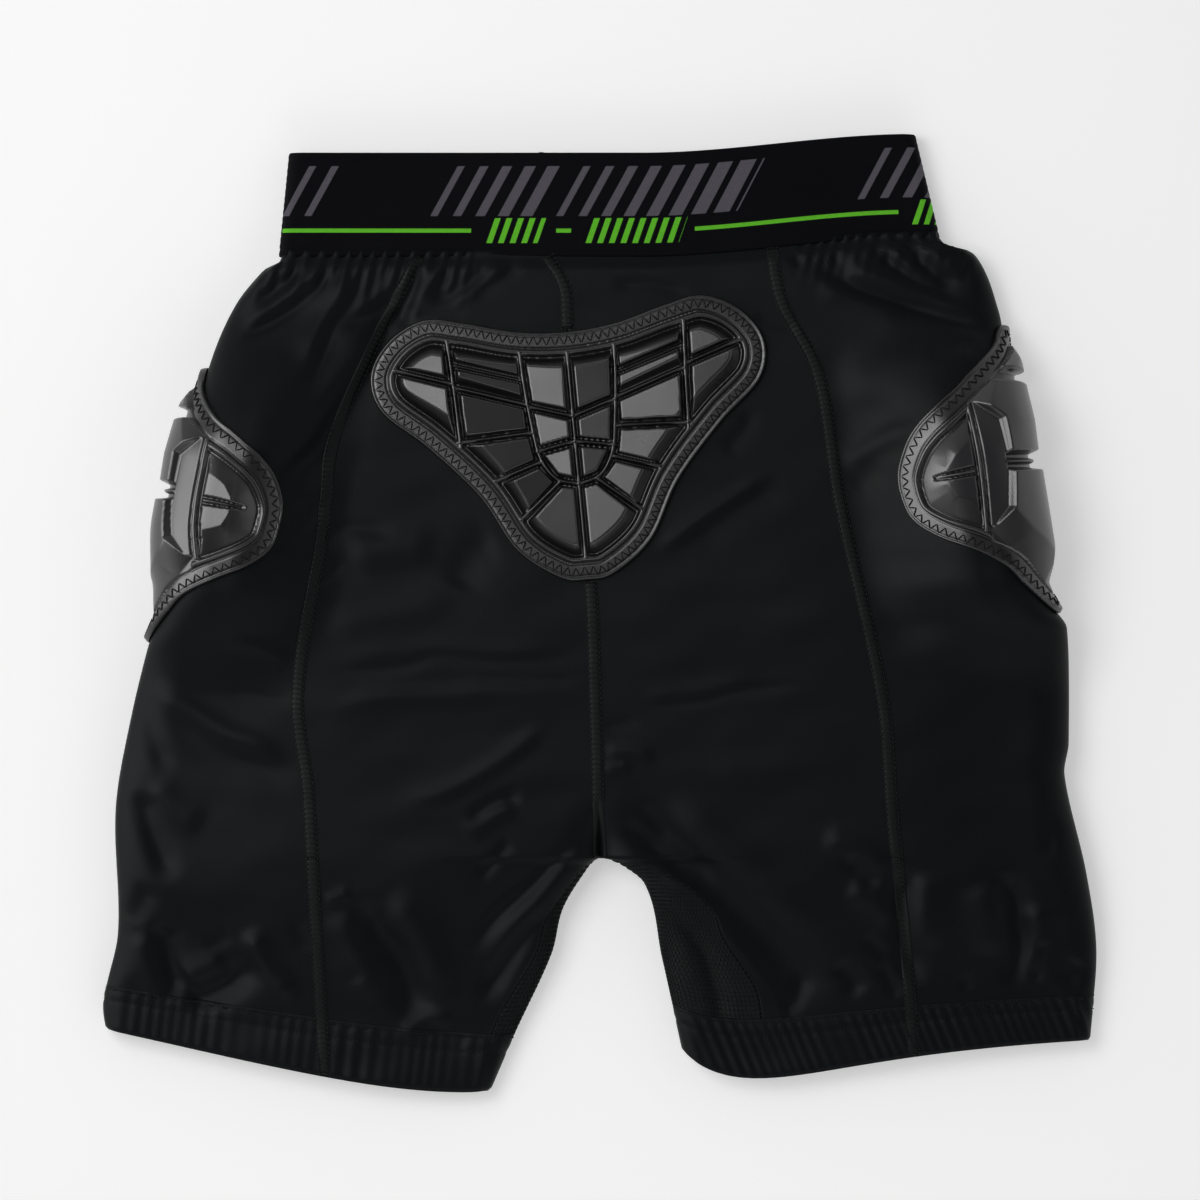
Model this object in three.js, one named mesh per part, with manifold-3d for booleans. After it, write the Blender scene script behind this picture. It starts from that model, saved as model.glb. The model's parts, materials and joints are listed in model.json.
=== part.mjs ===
// Padded impact shorts, lying flat on their front with the back facing up.
// Millimetres. +Y runs to the waistband, +Z out of the back, -X is the wearer's left.
import * as THREE from "three";
import { mergeVertices } from "three/addons/utils/BufferGeometryUtils.js";
import Module from "manifold-3d";

const wasm = await Module();
wasm.setup();

// Driving dimensions
const bandHeight = 50; // waistband elastic
const bandThick = 2;
const bandFoldWidth = 6; // how far in from the side the band's fold reaches
const bandBottomY = 173.5;
const bandDepth = 14; // both layers of the band with the air between them
const crotchY = -115.5;
const fabric = 1.2;
const gap = 0.3; // between neighbouring pieces
const layerGap = 0.8; // between a curved layer and the next
const bandGap = 1.2; // between the band and the panels sewn to it
const padLift = 0.7; // from the fabric to the underside of the tailbone pad
const hipPadLift = 1.75;
const seamWidth = 5;
const threadThick = 0.5;
const torsoRows = 13; // stations from the band to the crotch
const hemHeight = 24;
const hemGap = 1.2; // between the hem band and the panels above it
const flangeWidth = 8.5; // flat sewn margin round each pad
const flangeThick = 2.2;
const liningThick = 0.9;
const seatHeight = 25; // top of the seat over the table
const seatFall = 9; // how much lower the seat is at the waistband
const hipHeight = 44; // the shorts stand higher over the hip pads
const padSink = 10.8; // room for the front half of a hip pad under the cloth
const sideFoldWidth = 20; // how far in from the side the torso's fold reaches
const sideFoldHeight = 23; // of the side folds below the hips
const legFoldWidth = 14;
const hemFoldWidth = 8;
const hemSideHeight = 13;
const hemMiddleHeight = 14;
const backEase = 56; // width over which the back goes from its side height to its middle height
const bandTiltRise = 9;
const bandSidesAtTop = [-150, 152]; // x of the band's two side folds
const bandSidesAtBottom = [-155, 164];

// Where each shape eases in or out, as [start, full]
const bulgeFromTop = [150, 75]; // y of the rise over the hip pads
const bulgeFromBottom = [-40, 20];
const liftFromTop = [135, 95]; // y of the lift of the front over the hip pads
const liftFromBottom = [-32, 4];
const liftFromMiddle = [96, 66]; // distance in from the side
const sideFromBand = [150, 60]; // y
const bandTiltSpan = [20, 150]; // x

// Side outlines as [y, x], from the waistband down to the hem
const leftSide = [
  [174, -156],
  [151, -175],
  [120, -188],
  [47, -205],
  [17, -206],
  [1, -210.5],
  [-14, -217],
  [-50, -226],
  [-92, -233],
  [-150, -232],
  [-182, -239],
  [-200, -236],
];
const rightSide = [
  [174, 166],
  [165, 181],
  [140, 192],
  [126, 194],
  [108, 195.5],
  [92, 198.5],
  [58, 204.5],
  [30, 209],
  [16, 211.5],
  [4, 218],
  [-5, 224],
  [-60, 225.5],
  [-76, 223.5],
  [-123, 234],
  [-160, 239],
  [-200, 236],
];
const leftInseam = [
  [-115, -2.4],
  [-139, -17.5],
  [-162, -23.5],
  [-200, -41],
  [-230, -54],
];
const rightInseam = [
  [-115, 4.5],
  [-128, 21.5],
  [-164, 30],
  [-207, 39.5],
  [-215, 41],
];

// Seam lines of the back as [y, x]
const leftBackSeam = [
  [174, -87],
  [133, -108],
  [85, -127],
  [37, -133.5],
  [-37, -145],
  [-83, -140],
  [-155, -136],
  [-226, -132],
];
const rightBackSeam = [
  [184, 82],
  [153, 87],
  [118, 104.5],
  [56, 115],
  [-39, 135.5],
  [-98, 140.5],
  [-159, 147],
  [-210, 151],
];
const centreBackSeam = [
  [174, -25],
  [158, -17],
  [140, -15.5],
  [17, -4.5],
  [-46, -2],
  [-116, 0],
];
// and of the front
const frontSeamAtWaist = 92;
const frontSeamAtHem = 140;

const { lerp, clamp, degToRad } = THREE.MathUtils;
const smooth = (from, to, at) => {
  const t = clamp((at - from) / (to - from), 0, 1);
  return t * t * (3 - 2 * t);
};

// A smooth line through [y, x] points, read at any y.
function lineThrough(points) {
  const sorted = [...points].sort((a, b) => a[0] - b[0]);
  const slope = (i) => {
    const a = sorted[Math.max(i - 1, 0)];
    const b = sorted[Math.min(i + 1, sorted.length - 1)];
    return (b[1] - a[1]) / (b[0] - a[0]);
  };
  return (y) => {
    let i = sorted.findIndex((p) => p[0] > y) - 1;
    if (i < 0) i = y < sorted[0][0] ? 0 : sorted.length - 2;
    const [y0, x0] = sorted[i];
    const [y1, x1] = sorted[i + 1];
    const h = y1 - y0;
    const t = clamp((y - y0) / h, 0, 1);
    const s = 1 - t;
    const ends = x0 * s * s * (1 + 2 * t) + x1 * t * t * (3 - 2 * t);
    return ends + h * (slope(i) * s * s * t - slope(i + 1) * t * t * s);
  };
}

const leftSideAt = lineThrough(leftSide);
const rightSideAt = lineThrough(rightSide);
const leftInseamAt = lineThrough(leftInseam);
const rightInseamAt = lineThrough(rightInseam);
const leftBackSeamAt = lineThrough(leftBackSeam);
const rightBackSeamAt = lineThrough(rightBackSeam);
const centreBackSeamAt = lineThrough(centreBackSeam);
const frontSeamAt = (y) => lerp(frontSeamAtHem, frontSeamAtWaist, smooth(-230, bandBottomY, y));

// The band's right half lies a little higher than its left.
const bandTilt = (x) => bandTiltRise * smooth(...bandTiltSpan, x);

// Height of the side folds, and how far the hip pads lift the cloth off the table.
const hipBulge = (y) => smooth(...bulgeFromTop, y) * smooth(...bulgeFromBottom, y);
const plainSide = (y) => lerp(bandDepth + 3, sideFoldHeight, smooth(...sideFromBand, y));
const sideHeight = (y) => lerp(plainSide(y), hipHeight, hipBulge(y));
const frontLift = (y) => padSink * smooth(...liftFromTop, y) * smooth(...liftFromBottom, y);
const middleHeight = (y) => seatHeight - seatFall * clamp(y / bandBottomY, 0, 1);

// A cross-section: where its two side folds are, its heights, and how wide the folds are.
function torsoStation(v) {
  const y = lerp(bandBottomY - bandGap, crotchY + gap, v);
  return {
    y,
    left: leftSideAt(y),
    right: rightSideAt(y),
    tilt: smooth(0.4, 0, v),
    side: sideHeight(y),
    middle: middleHeight(y),
    lift: frontLift(y),
    fold: lerp(bandFoldWidth, sideFoldWidth, smooth(0, 0.2, v)),
  };
}

// Between the stations everything is straight, so that every layer has the same facets.
function torsoSection(v) {
  const at = clamp(v, 0, 1) * torsoRows;
  const i = Math.min(Math.floor(at), torsoRows - 1);
  const above = torsoStation(i / torsoRows);
  const below = torsoStation((i + 1) / torsoRows);
  const section = {};
  for (const key of Object.keys(above)) section[key] = lerp(above[key], below[key], at - i);
  section.yAt = (x) => section.y + bandTilt(x) * section.tilt;
  return section;
}

function bandSection(v) {
  const y = lerp(bandBottomY + bandHeight, bandBottomY, v);
  return {
    left: lerp(bandSidesAtTop[0], bandSidesAtBottom[0], v),
    right: lerp(bandSidesAtTop[1], bandSidesAtBottom[1], v),
    yAt: (x) => y + bandTilt(x),
    side: bandDepth,
    middle: bandDepth,
    lift: 0,
    fold: bandFoldWidth,
  };
}

// The hem hangs lowest at a point part of the way out from the inseam.
const hemDrop = (out, lowest) => (out / lowest) * Math.exp(1 - out / lowest);

// Each leg: which side, y of its outer and inner lower corners, the hem's drop, and the width of
// its gusset on the back at even steps down the leg
const legs = {
  left: { sign: -1, outerY: -197, innerY: -228, drop: 8, lowest: 0.45, backGusset: [7, 13, 15, 12] },
  right: { sign: 1, outerY: -202, innerY: -209, drop: 14, lowest: 0.2, backGusset: [18, 31, 37, 36] },
};
const frontGusset = [16, 33, 38, 36];

function legSection(name, v) {
  const leg = legs[name];
  const outerY = lerp(crotchY - gap, leg.outerY, v);
  const innerY = lerp(crotchY - gap, leg.innerY, v);
  const outer = (leg.sign < 0 ? leftSideAt : rightSideAt)(outerY);
  const inner = (leg.sign < 0 ? leftInseamAt : rightInseamAt)(innerY);
  const flatten = smooth(0, 0.9, v);
  return {
    left: Math.min(outer, inner),
    right: Math.max(outer, inner),
    yAt: (x) => {
      const out = clamp((x - inner) / (outer - inner), 0, 1);
      return lerp(innerY, outerY, out) - leg.drop * v * v * hemDrop(out, leg.lowest);
    },
    side: lerp(sideFoldHeight, hemSideHeight, flatten),
    middle: lerp(seatHeight, hemMiddleHeight, flatten),
    lift: 0,
    fold: lerp(legFoldWidth, hemFoldWidth, v),
    gusset: (widths) => valueAlong(widths, v),
  };
}

// Evenly spaced values, read at t from 0 to 1.
function valueAlong(values, t) {
  const at = clamp(t, 0, 1) * (values.length - 1);
  const i = Math.min(Math.floor(at), values.length - 2);
  return lerp(values[i], values[i + 1], smooth(0, 1, at - i));
}

const foldLength = (s) => (Math.PI / 2) * Math.hypot(s.fold, (s.side - s.lift) / 2) * Math.SQRT1_2;

// A point of the cloth's outer face: q is the distance round from a side fold's edge, more than
// zero on the back and less than zero on the front.
function clothPoint(section, side, q) {
  const s = section;
  const quarter = foldLength(s);
  const round = Math.min(Math.abs(q) / quarter, 1);
  const turn = (Math.PI / 2) * round;
  const inward = Math.abs(q) < quarter ? s.fold * (1 - Math.cos(turn)) : s.fold + Math.abs(q) - quarter;
  const back = lerp(s.side, s.middle, smooth(s.fold, s.fold + backEase, inward));
  const front = s.lift * smooth(...liftFromMiddle, inward);
  const mid = (s.side + s.lift) / 2;
  const flat = q > 0 ? back : front;
  const z = mid + (flat - mid) * Math.sin(turn);
  const x = side === "left" ? s.left + inward : s.right - inward;
  return new THREE.Vector3(x, s.yAt(x), z);
}

// The q that lands on a given x.
function qOf(section, side, x) {
  const inward = side === "left" ? x - section.left : section.right - x;
  const quarter = foldLength(section);
  if (inward >= section.fold) return quarter + inward - section.fold;
  return (quarter * Math.acos(1 - Math.max(inward, 0) / section.fold)) / (Math.PI / 2);
}

// The cloth's outward direction there.
function clothNormal(sectionAt, v, side, q) {
  const step = 0.004; // of v
  const reach = 0.4; // mm to each side
  const low = clamp(v - step, 0, 1);
  const high = clamp(v + step, 0, 1);
  const down = clothPoint(sectionAt(high), side, q).sub(clothPoint(sectionAt(low), side, q));
  const s = sectionAt(v);
  const round = clothPoint(s, side, q + reach).sub(clothPoint(s, side, q - reach));
  const n = side === "left" ? down.cross(round) : round.cross(down);
  return n.normalize();
}

function clothAt(sectionAt, v, side, q, out) {
  const n = clothNormal(sectionAt, v, side, q);
  return clothPoint(sectionAt(v), side, q).addScaledVector(n, out);
}

// A closed solid from an outer and an inner grid of points. Rows may close on themselves.
function gridSolid(rows, cols, outer, inner, ring = false) {
  const across = ring ? cols : cols + 1;
  const positions = [];
  for (const layer of [outer, inner]) {
    for (let i = 0; i <= rows; i++) {
      for (let j = 0; j < across; j++) positions.push(...layer(i, j).toArray());
    }
  }
  const id = (layer, i, j) => (layer * (rows + 1) + i) * across + (j % across);
  const index = [];
  const quad = (a, b, c, d) => index.push(a, b, c, a, c, d);
  for (let i = 0; i < rows; i++) {
    for (let j = 0; j < cols; j++) {
      quad(id(0, i, j), id(0, i + 1, j), id(0, i + 1, j + 1), id(0, i, j + 1));
      quad(id(1, i, j), id(1, i, j + 1), id(1, i + 1, j + 1), id(1, i + 1, j));
    }
  }
  for (let j = 0; j < cols; j++) {
    quad(id(0, 0, j), id(0, 0, j + 1), id(1, 0, j + 1), id(1, 0, j));
    quad(id(0, rows, j + 1), id(0, rows, j), id(1, rows, j), id(1, rows, j + 1));
  }
  if (!ring) {
    for (let i = 0; i < rows; i++) {
      quad(id(0, i + 1, 0), id(0, i, 0), id(1, i, 0), id(1, i + 1, 0));
      quad(id(0, i, cols), id(0, i + 1, cols), id(1, i + 1, cols), id(1, i, cols));
    }
  }
  const geometry = new THREE.BufferGeometry();
  geometry.setAttribute("position", new THREE.Float32BufferAttribute(positions, 3));
  geometry.setIndex(index);
  return facingOut(geometry);
}

// Turns a closed geometry round when its faces point inwards.
function facingOut(geometry) {
  const p = geometry.attributes.position;
  const index = geometry.index.array;
  const [a, b, c] = [new THREE.Vector3(), new THREE.Vector3(), new THREE.Vector3()];
  let volume = 0;
  for (let i = 0; i < index.length; i += 3) {
    a.fromBufferAttribute(p, index[i]);
    b.fromBufferAttribute(p, index[i + 1]);
    c.fromBufferAttribute(p, index[i + 2]);
    volume += a.dot(b.cross(c));
  }
  if (volume < 0) {
    for (let i = 0; i < index.length; i += 3) [index[i + 1], index[i + 2]] = [index[i + 2], index[i + 1]];
  }
  geometry.computeVertexNormals();
  return geometry;
}

// A strip of cloth on one side of a section, between two q lines, with its outer face at `out`.
function clothPatch(sectionAt, side, span, edges, cols, { rows, out = 0, thick = fabric }) {
  const [top, bottom] = span;
  const v = (i) => lerp(top, bottom, i / rows);
  const point = (offset) => (i, j) => {
    const [from, to] = edges(sectionAt(v(i)), v(i));
    return clothAt(sectionAt, v(i), side, lerp(from, to, cols[j]), offset);
  };
  return gridSolid(rows, cols.length - 1, point(out), point(out - thick));
}

const even = (count) => Array.from({ length: count + 1 }, (_, i) => i / count);

// Steps from 0 to 1 that are closest together at the middle, where a patch goes round a fold.
const closeInMiddle = (count) =>
  even(count).map((t) => 0.5 + 0.5 * Math.sign(t - 0.5) * Math.abs(2 * t - 1) ** 1.6);

// Material finishes, one function for each kind of material
const material = (color, roughness) => () =>
  new THREE.MeshStandardMaterial({ color, roughness, metalness: 0 });
const spandex = material(0x131518, 0.62);
const mesh = material(0x18191b, 0.85);
const elastic = material(0x121216, 0.8);
const thread = material(0x08080a, 0.7);
const foam = material(0x47474b, 0.42);
const lining = material(0x222226, 0.9);

function part(name, geometry, finish) {
  const made = new THREE.Mesh(geometry, finish());
  made.name = name;
  return made;
}

// ---- Torso ----

const halfGap = gap / 2;
const seamOf = { left: leftBackSeamAt, right: rightBackSeamAt };
const backSeamX = (name, s) => {
  const first = seamOf[name](s.yAt(0));
  return seamOf[name](s.yAt(first));
};
const frontSeamX = (name, s) => (name === "left" ? -1 : 1) * frontSeamAt(s.yAt(0));
const centreX = (s) => centreBackSeamAt(s.yAt(0));

// Wraps from the back seam round the side to the front seam.
function hipPanel(name) {
  const edges = (s) => [
    qOf(s, name, backSeamX(name, s)) - halfGap,
    -qOf(s, name, frontSeamX(name, s)) + halfGap,
  ];
  return clothPatch(torsoSection, name, [0, 1], edges, closeInMiddle(18), { rows: torsoRows });
}

function seatPanel(name) {
  const edges = (s) => [
    qOf(s, name, centreX(s)) - halfGap,
    qOf(s, name, backSeamX(name, s)) + halfGap,
  ];
  return clothPatch(torsoSection, name, [0, 1], edges, even(5), { rows: torsoRows });
}

function frontPanel(name) {
  const edges = (s) => [
    -qOf(s, name, frontSeamX(name, s)) - halfGap,
    -qOf(s, name, 0) + halfGap,
  ];
  return clothPatch(torsoSection, name, [0, 1], edges, even(5), { rows: torsoRows });
}

// A band of stitching that covers a seam: its middle line is at q(section).
function seamStrip(sectionAt, side, span, q, rows) {
  const edges = (s) => [q(s) - seamWidth / 2, q(s) + seamWidth / 2];
  return clothPatch(sectionAt, side, span, edges, [0, 1], {
    rows,
    out: layerGap + threadThick,
    thick: threadThick,
  });
}

// The front lies on the table, so its stitching sits on the inner face of the cloth.
function innerSeamStrip(sectionAt, side, span, q, rows) {
  const edges = (s) => [q(s) - seamWidth / 2, q(s) + seamWidth / 2];
  return clothPatch(sectionAt, side, span, edges, [0, 1], {
    rows,
    out: -fabric - layerGap,
    thick: threadThick,
  });
}

// ---- Waistband ----

// Goes once round a section, from the left fold over the back to the right fold and back below.
function roundSection(s, at) {
  const foldSteps = 4;
  const quarter = foldLength(s);
  const middle = (s.left + s.right) / 2;
  const flats = even(6).slice(1);
  const half = [];
  for (let i = 0; i <= foldSteps; i++) half.push((quarter * i) / foldSteps);
  for (const f of flats) half.push(lerp(quarter, qOf(s, "left", middle), f));
  const across = half.length;
  const stops = [
    ...half.map((q) => ["left", q]),
    ...half.slice(0, -1).reverse().map((q) => ["right", q]),
    ...half.slice(1).map((q) => ["right", -q]),
    ...half.slice(1, -1).reverse().map((q) => ["left", -q]),
  ];
  return at === undefined ? 4 * (across - 1) : stops[at];
}

function tube(sectionAt, span, rows, { out = 0, thick }) {
  const v = (i) => lerp(span[0], span[1], i / rows);
  const cols = roundSection(sectionAt(span[0]));
  const point = (offset) => (i, j) => {
    const [side, q] = roundSection(sectionAt(v(i)), j);
    return clothAt(sectionAt, v(i), side, q, offset);
  };
  return gridSolid(rows, cols, point(out), point(out - thick), true);
}

function waistbandJoin() {
  const joinX = -25.5;
  const halfWidth = 4.5;
  const edges = (s) => [qOf(s, "left", joinX - halfWidth), qOf(s, "left", joinX + halfWidth)];
  return clothPatch(bandSection, "left", [0.01, 0.99], edges, [0, 1], {
    rows: 1,
    out: gap + threadThick,
    thick: threadThick,
  });
}

// ---- Tailbone pad ----

// Half outline in the pad's own frame: x to its right, y up from the top of its tray.
const padOutline = [
  [0, 10],
  [24, 12.2],
  [48.5, 18.7],
  [67, 21.8],
  [84.5, 13.4],
  [95, -2.4],
  [91.4, -21],
  [71, -40],
  [48, -66],
  [32.6, -93],
  [13, -108],
];
const padTip = [0, -110];
const padTilt = degToRad(5.2);
const padX = -15.9;
const padY = 127.3;
const padRimWidth = 2;
const padFloor = 2.6;
const padRimHeight = 4.4;
const padBlockHeight = 9;
const blockFoot = { inset: 1.3, sink: 0.5, rise: 1.5 }; // the upright part of a block
const blockTopInset = 4.2;
const stitchBand = [2, 6.5]; // distances in from the pad's edge
const padInnerGap = 0.5; // between the cloth and the lining behind the pad

// The blocks of the pad's right half, between its grooves
const padBlocks = [
  [[0, 0], [22.6, 1.2], [21.1, -24.5], [0, -31.3]],
  [[0, -31.3], [21.1, -24.5], [18.2, -45.6], [0, -43]],
  [[0, -43], [18.2, -45.6], [11, -60.5], [0, -64]],
  [[22.6, 1.4], [45, 8], [56.5, 10.4], [55.4, -5], [22.4, -12.5]],
  [[22.4, -12.5], [55.4, -5], [55.6, -12.5], [21.1, -24.5]],
  [[57, 10.6], [68, 10.8], [77, 6], [83.6, -2.6], [56.6, -10.6]],
  [[56.6, -10.6], [83.6, -2.6], [82.6, -15], [66, -31], [54.7, -42]],
  [[21.1, -24.5], [55.4, -13], [54.7, -39], [20, -37.4]],
  [[20, -37.4], [53, -39.4], [40, -58], [17.8, -52]],
  [[17.8, -52], [40, -58], [28.8, -78.2], [10.4, -61.6]],
  [[0, -64], [10.4, -61.6], [28.8, -78.2], [20, -91.5], [9, -98], [0, -98.5]],
];

function padRing(inset, count) {
  const right = padOutline.slice(1).map(([x, y]) => new THREE.Vector3(x, y, 0));
  const left = right.map((p) => new THREE.Vector3(-p.x, p.y, 0)).reverse();
  const top = new THREE.Vector3(...padOutline[0], 0);
  const tip = new THREE.Vector3(...padTip, 0);
  const curve = new THREE.CatmullRomCurve3([top, ...right, tip, ...left], true, "centripetal");
  const ring = Array.from({ length: count }, (_, i) => {
    const p = curve.getPointAt(i / count);
    const t = curve.getTangentAt(i / count);
    return new THREE.Vector2(p.x + inset * t.y, p.y - inset * t.x);
  });
  return ring.reverse();
}

// A flat plate or ring between two heights, from outlines in the pad's frame.
function plate(outline, low, high, hole) {
  const shape = new THREE.Shape(outline);
  if (hole) shape.holes.push(new THREE.Path(hole));
  const geometry = new THREE.ExtrudeGeometry(shape, { depth: high - low, bevelEnabled: false });
  return geometry.translate(0, 0, low);
}

function insetPolygon(points, amount) {
  const count = points.length;
  const turn = THREE.ShapeUtils.area(points) > 0 ? 1 : -1;
  return points.map((p, i) => {
    const before = points[(i + count - 1) % count];
    const after = points[(i + 1) % count];
    const a = p.clone().sub(before).normalize();
    const b = after.clone().sub(p).normalize();
    const na = new THREE.Vector2(-a.y, a.x).multiplyScalar(turn);
    const nb = new THREE.Vector2(-b.y, b.x).multiplyScalar(turn);
    const mitre = na.clone().add(nb);
    return p.clone().addScaledVector(mitre, amount / (1 + na.dot(nb)));
  });
}

function padBlock(corners, mirror) {
  const outline = corners.map(([x, y]) => new THREE.Vector2(x * mirror, y));
  if (THREE.ShapeUtils.isClockWise(outline)) outline.reverse();
  const foot = insetPolygon(outline, blockFoot.inset);
  const top = insetPolygon(outline, blockTopInset);
  const ring = (points, z) => points.map((p) => new THREE.Vector3(p.x, p.y, z));
  return cappedStack([
    ring(foot, padFloor - blockFoot.sink),
    ring(foot, padFloor + blockFoot.rise),
    ring(top, padBlockHeight),
  ]);
}

// A closed solid from anticlockwise rings of points stacked on each other, with flat ends.
function cappedStack(levels) {
  const count = levels[0].length;
  const positions = levels.flat().flatMap((p) => p.toArray());
  const index = [];
  for (let k = 0; k + 1 < levels.length; k++) {
    for (let i = 0; i < count; i++) {
      const [a, b] = [k * count + i, k * count + ((i + 1) % count)];
      index.push(a, b, b + count, a, b + count, a + count);
    }
  }
  const last = (levels.length - 1) * count;
  const caps = THREE.ShapeUtils.triangulateShape(levels[0].map((p) => new THREE.Vector2(p.x, p.y)), []);
  for (const [a, b, c] of caps) index.push(a, c, b, last + a, last + b, last + c);
  const geometry = new THREE.BufferGeometry();
  geometry.setAttribute("position", new THREE.Float32BufferAttribute(positions, 3));
  geometry.setIndex(index);
  return facingOut(geometry);
}

function toManifold(geometry) {
  const bare = geometry.clone();
  bare.deleteAttribute("normal");
  bare.deleteAttribute("uv");
  const merged = mergeVertices(bare, 1e-4);
  return new wasm.Manifold(
    new wasm.Mesh({
      numProp: 3,
      vertProperties: merged.attributes.position.array,
      triVerts: new Uint32Array(merged.index.array),
    }),
  );
}

function fromManifold(solid) {
  const made = solid.getMesh();
  const geometry = new THREE.BufferGeometry();
  geometry.setAttribute("position", new THREE.BufferAttribute(made.vertProperties, 3));
  geometry.setIndex(new THREE.BufferAttribute(made.triVerts, 1));
  geometry.computeVertexNormals();
  return geometry;
}

// Lays a geometry of the pad's frame on the sloping seat, `out` above the cloth.
function onSeat(geometry, out) {
  const slope = Math.atan(-seatFall / bandBottomY);
  const surface = middleHeight(padY);
  return geometry
    .rotateZ(padTilt)
    .rotateX(slope)
    .translate(padX, padY, surface + out);
}

const padRingPoints = 72;

function tailbonePad() {
  const trayBottom = flangeThick - blockFoot.sink;
  const base = toManifold(plate(padRing(0, padRingPoints), 0, flangeThick));
  const tray = toManifold(plate(padRing(flangeWidth, padRingPoints), trayBottom, padFloor));
  const rim = toManifold(
    plate(
      padRing(flangeWidth, padRingPoints),
      trayBottom,
      padRimHeight,
      padRing(flangeWidth + padRimWidth, padRingPoints),
    ),
  );
  let pad = base.add(tray).add(rim);
  for (const corners of padBlocks) {
    for (const mirror of [1, -1]) pad = pad.add(toManifold(padBlock(corners, mirror)));
  }
  return onSeat(fromManifold(pad), padLift);
}

function tailboneStitch() {
  const [outer, inner] = stitchBand.map((inset) => padRing(inset, padRingPoints));
  const ring = plate(outer, 0, threadThick, inner);
  return onSeat(ring, padLift + flangeThick + gap);
}

function tailboneLining() {
  const sheet = plate(padRing(0, padRingPoints / 2), 0, liningThick);
  return onSeat(sheet, -fabric - padInnerGap - liningThick);
}

// ---- Hip pads ----

// Half width of a hip pad, measured round the side, as [y, half width]
const hipPadTop = 119;
const hipPadBottom = -11;
const hipPadHalf = [
  [hipPadTop, 4],
  [105, 15],
  [94, 26],
  [85, 39],
  [77, 50],
  [68, 58],
  [55, 64],
  [42, 64],
  [32, 60],
  [24, 49],
  [17, 32],
  [10, 21],
  [1, 14],
  [hipPadBottom, 4],
];
const hipPadHalfAt = lineThrough(hipPadHalf);
// How far round to the back each pad lies from its side fold, and how far up
const hipPadShift = { left: -4, right: 4 };
const hipPadRaise = { left: 0, right: 14 };
const hipPadHeight = 9;
const hipPadFloor = 3;
const hipGrooves = [97, 61, 24]; // y of the grooves across its column
const hipColumn = 25; // half width of the column
const lobeGroove = 57;
const hipGrooveHalf = 1.6; // half width of a groove
const hipStitchBand = [1.5, 5]; // distances in from the pad's edge
const hipLiningEnds = [112, -4]; // y of the lining's two ends

// How much longer a level line across the edge margin is than the margin is wide
const hipPadSlant = (y) => Math.hypot(1, (hipPadHalfAt(y + 1) - hipPadHalfAt(y - 1)) / 2);

const torsoV = (y) => (bandBottomY - bandGap - y) / (bandBottomY - crotchY - bandGap - gap);

// Height of the pad over its underside at q and y.
function hipRelief(q, y) {
  const fromSide = (hipPadHalfAt(y) - Math.abs(q)) / hipPadSlant(y);
  const fromEnd = Math.min(hipPadTop - y, y - hipPadBottom) * 0.8;
  const fromEdge = Math.min(fromSide, fromEnd);
  if (fromEdge < flangeWidth) return flangeThick;
  const rise = smooth(flangeWidth - 1, flangeWidth + 3, fromEdge);
  const column = Math.abs(q) < hipColumn;
  const grooves = column ? hipGrooves : [lobeGroove];
  const inGroove = grooves.some((g) => Math.abs(y - g) < hipGrooveHalf);
  const atRidge = Math.abs(Math.abs(q) - hipColumn) < 1.5;
  const top = column ? hipPadHeight : hipPadHeight - 2;
  return lerp(flangeThick, inGroove || atRidge ? hipPadFloor : top, rise);
}

function hipPadRows() {
  const rows = [hipPadTop, 112, 106, 90, 84, 79, 73, 66, 45, 32, 16, 8, 0, -6, hipPadBottom];
  for (const y of [...hipGrooves, lobeGroove]) rows.push(y + hipGrooveHalf + 0.2, y - hipGrooveHalf - 0.2);
  return rows.sort((a, b) => b - a);
}

function hipPadColumns(y) {
  const half = hipPadHalfAt(y);
  const margin = flangeWidth * hipPadSlant(y);
  const inner = Math.max(half - margin - 3, half * 0.4);
  const rim = Math.max(half - margin, half * 0.55);
  const ridge = Math.min(hipColumn, inner * 0.9);
  const column = [0, 0.25, 0.5, 0.75, 0.94, 1].map((t) => t * ridge);
  const lobe = [0.12, 0.42, 0.72, 1].map((t) => lerp(ridge, inner, t));
  const right = [...column, ...lobe, rim, (rim + half) / 2, half];
  const left = right.slice(1).map((q) => -q).reverse();
  return [...left, ...right];
}

function hipPad(name) {
  const rows = hipPadRows();
  const cols = rows.map(hipPadColumns);
  const point = (height) => (i, j) => {
    const q = cols[i][j];
    const out = hipPadLift + height(q, rows[i]);
    const v = torsoV(rows[i] + hipPadRaise[name]);
    return clothAt(torsoSection, v, name, q + hipPadShift[name], out);
  };
  return gridSolid(rows.length - 1, cols[0].length - 1, point(hipRelief), point(() => 0));
}

// A closed loop in q and y, `inset` in from the pad's edge.
function hipRing(inset, count) {
  const right = hipPadHalf.map(([y, half]) => new THREE.Vector3(half, y, 0));
  const left = hipPadHalf.map(([y, half]) => new THREE.Vector3(-half, y, 0)).reverse();
  const curve = new THREE.CatmullRomCurve3([...right, ...left], true, "centripetal");
  return Array.from({ length: count }, (_, i) => {
    const p = curve.getPointAt(i / count);
    const t = curve.getTangentAt(i / count);
    return new THREE.Vector2(p.x + inset * t.y, p.y - inset * t.x);
  });
}

function hipStitch(name) {
  const count = 60;
  const rings = hipStitchBand.map((inset) => hipRing(inset, count));
  const point = (out) => (i, j) => {
    const at = rings[i][j];
    const v = torsoV(at.y + hipPadRaise[name]);
    return clothAt(torsoSection, v, name, at.x + hipPadShift[name], out);
  };
  const base = hipPadLift + flangeThick + layerGap;
  return gridSolid(1, count, point(base + threadThick), point(base), true);
}

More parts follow.
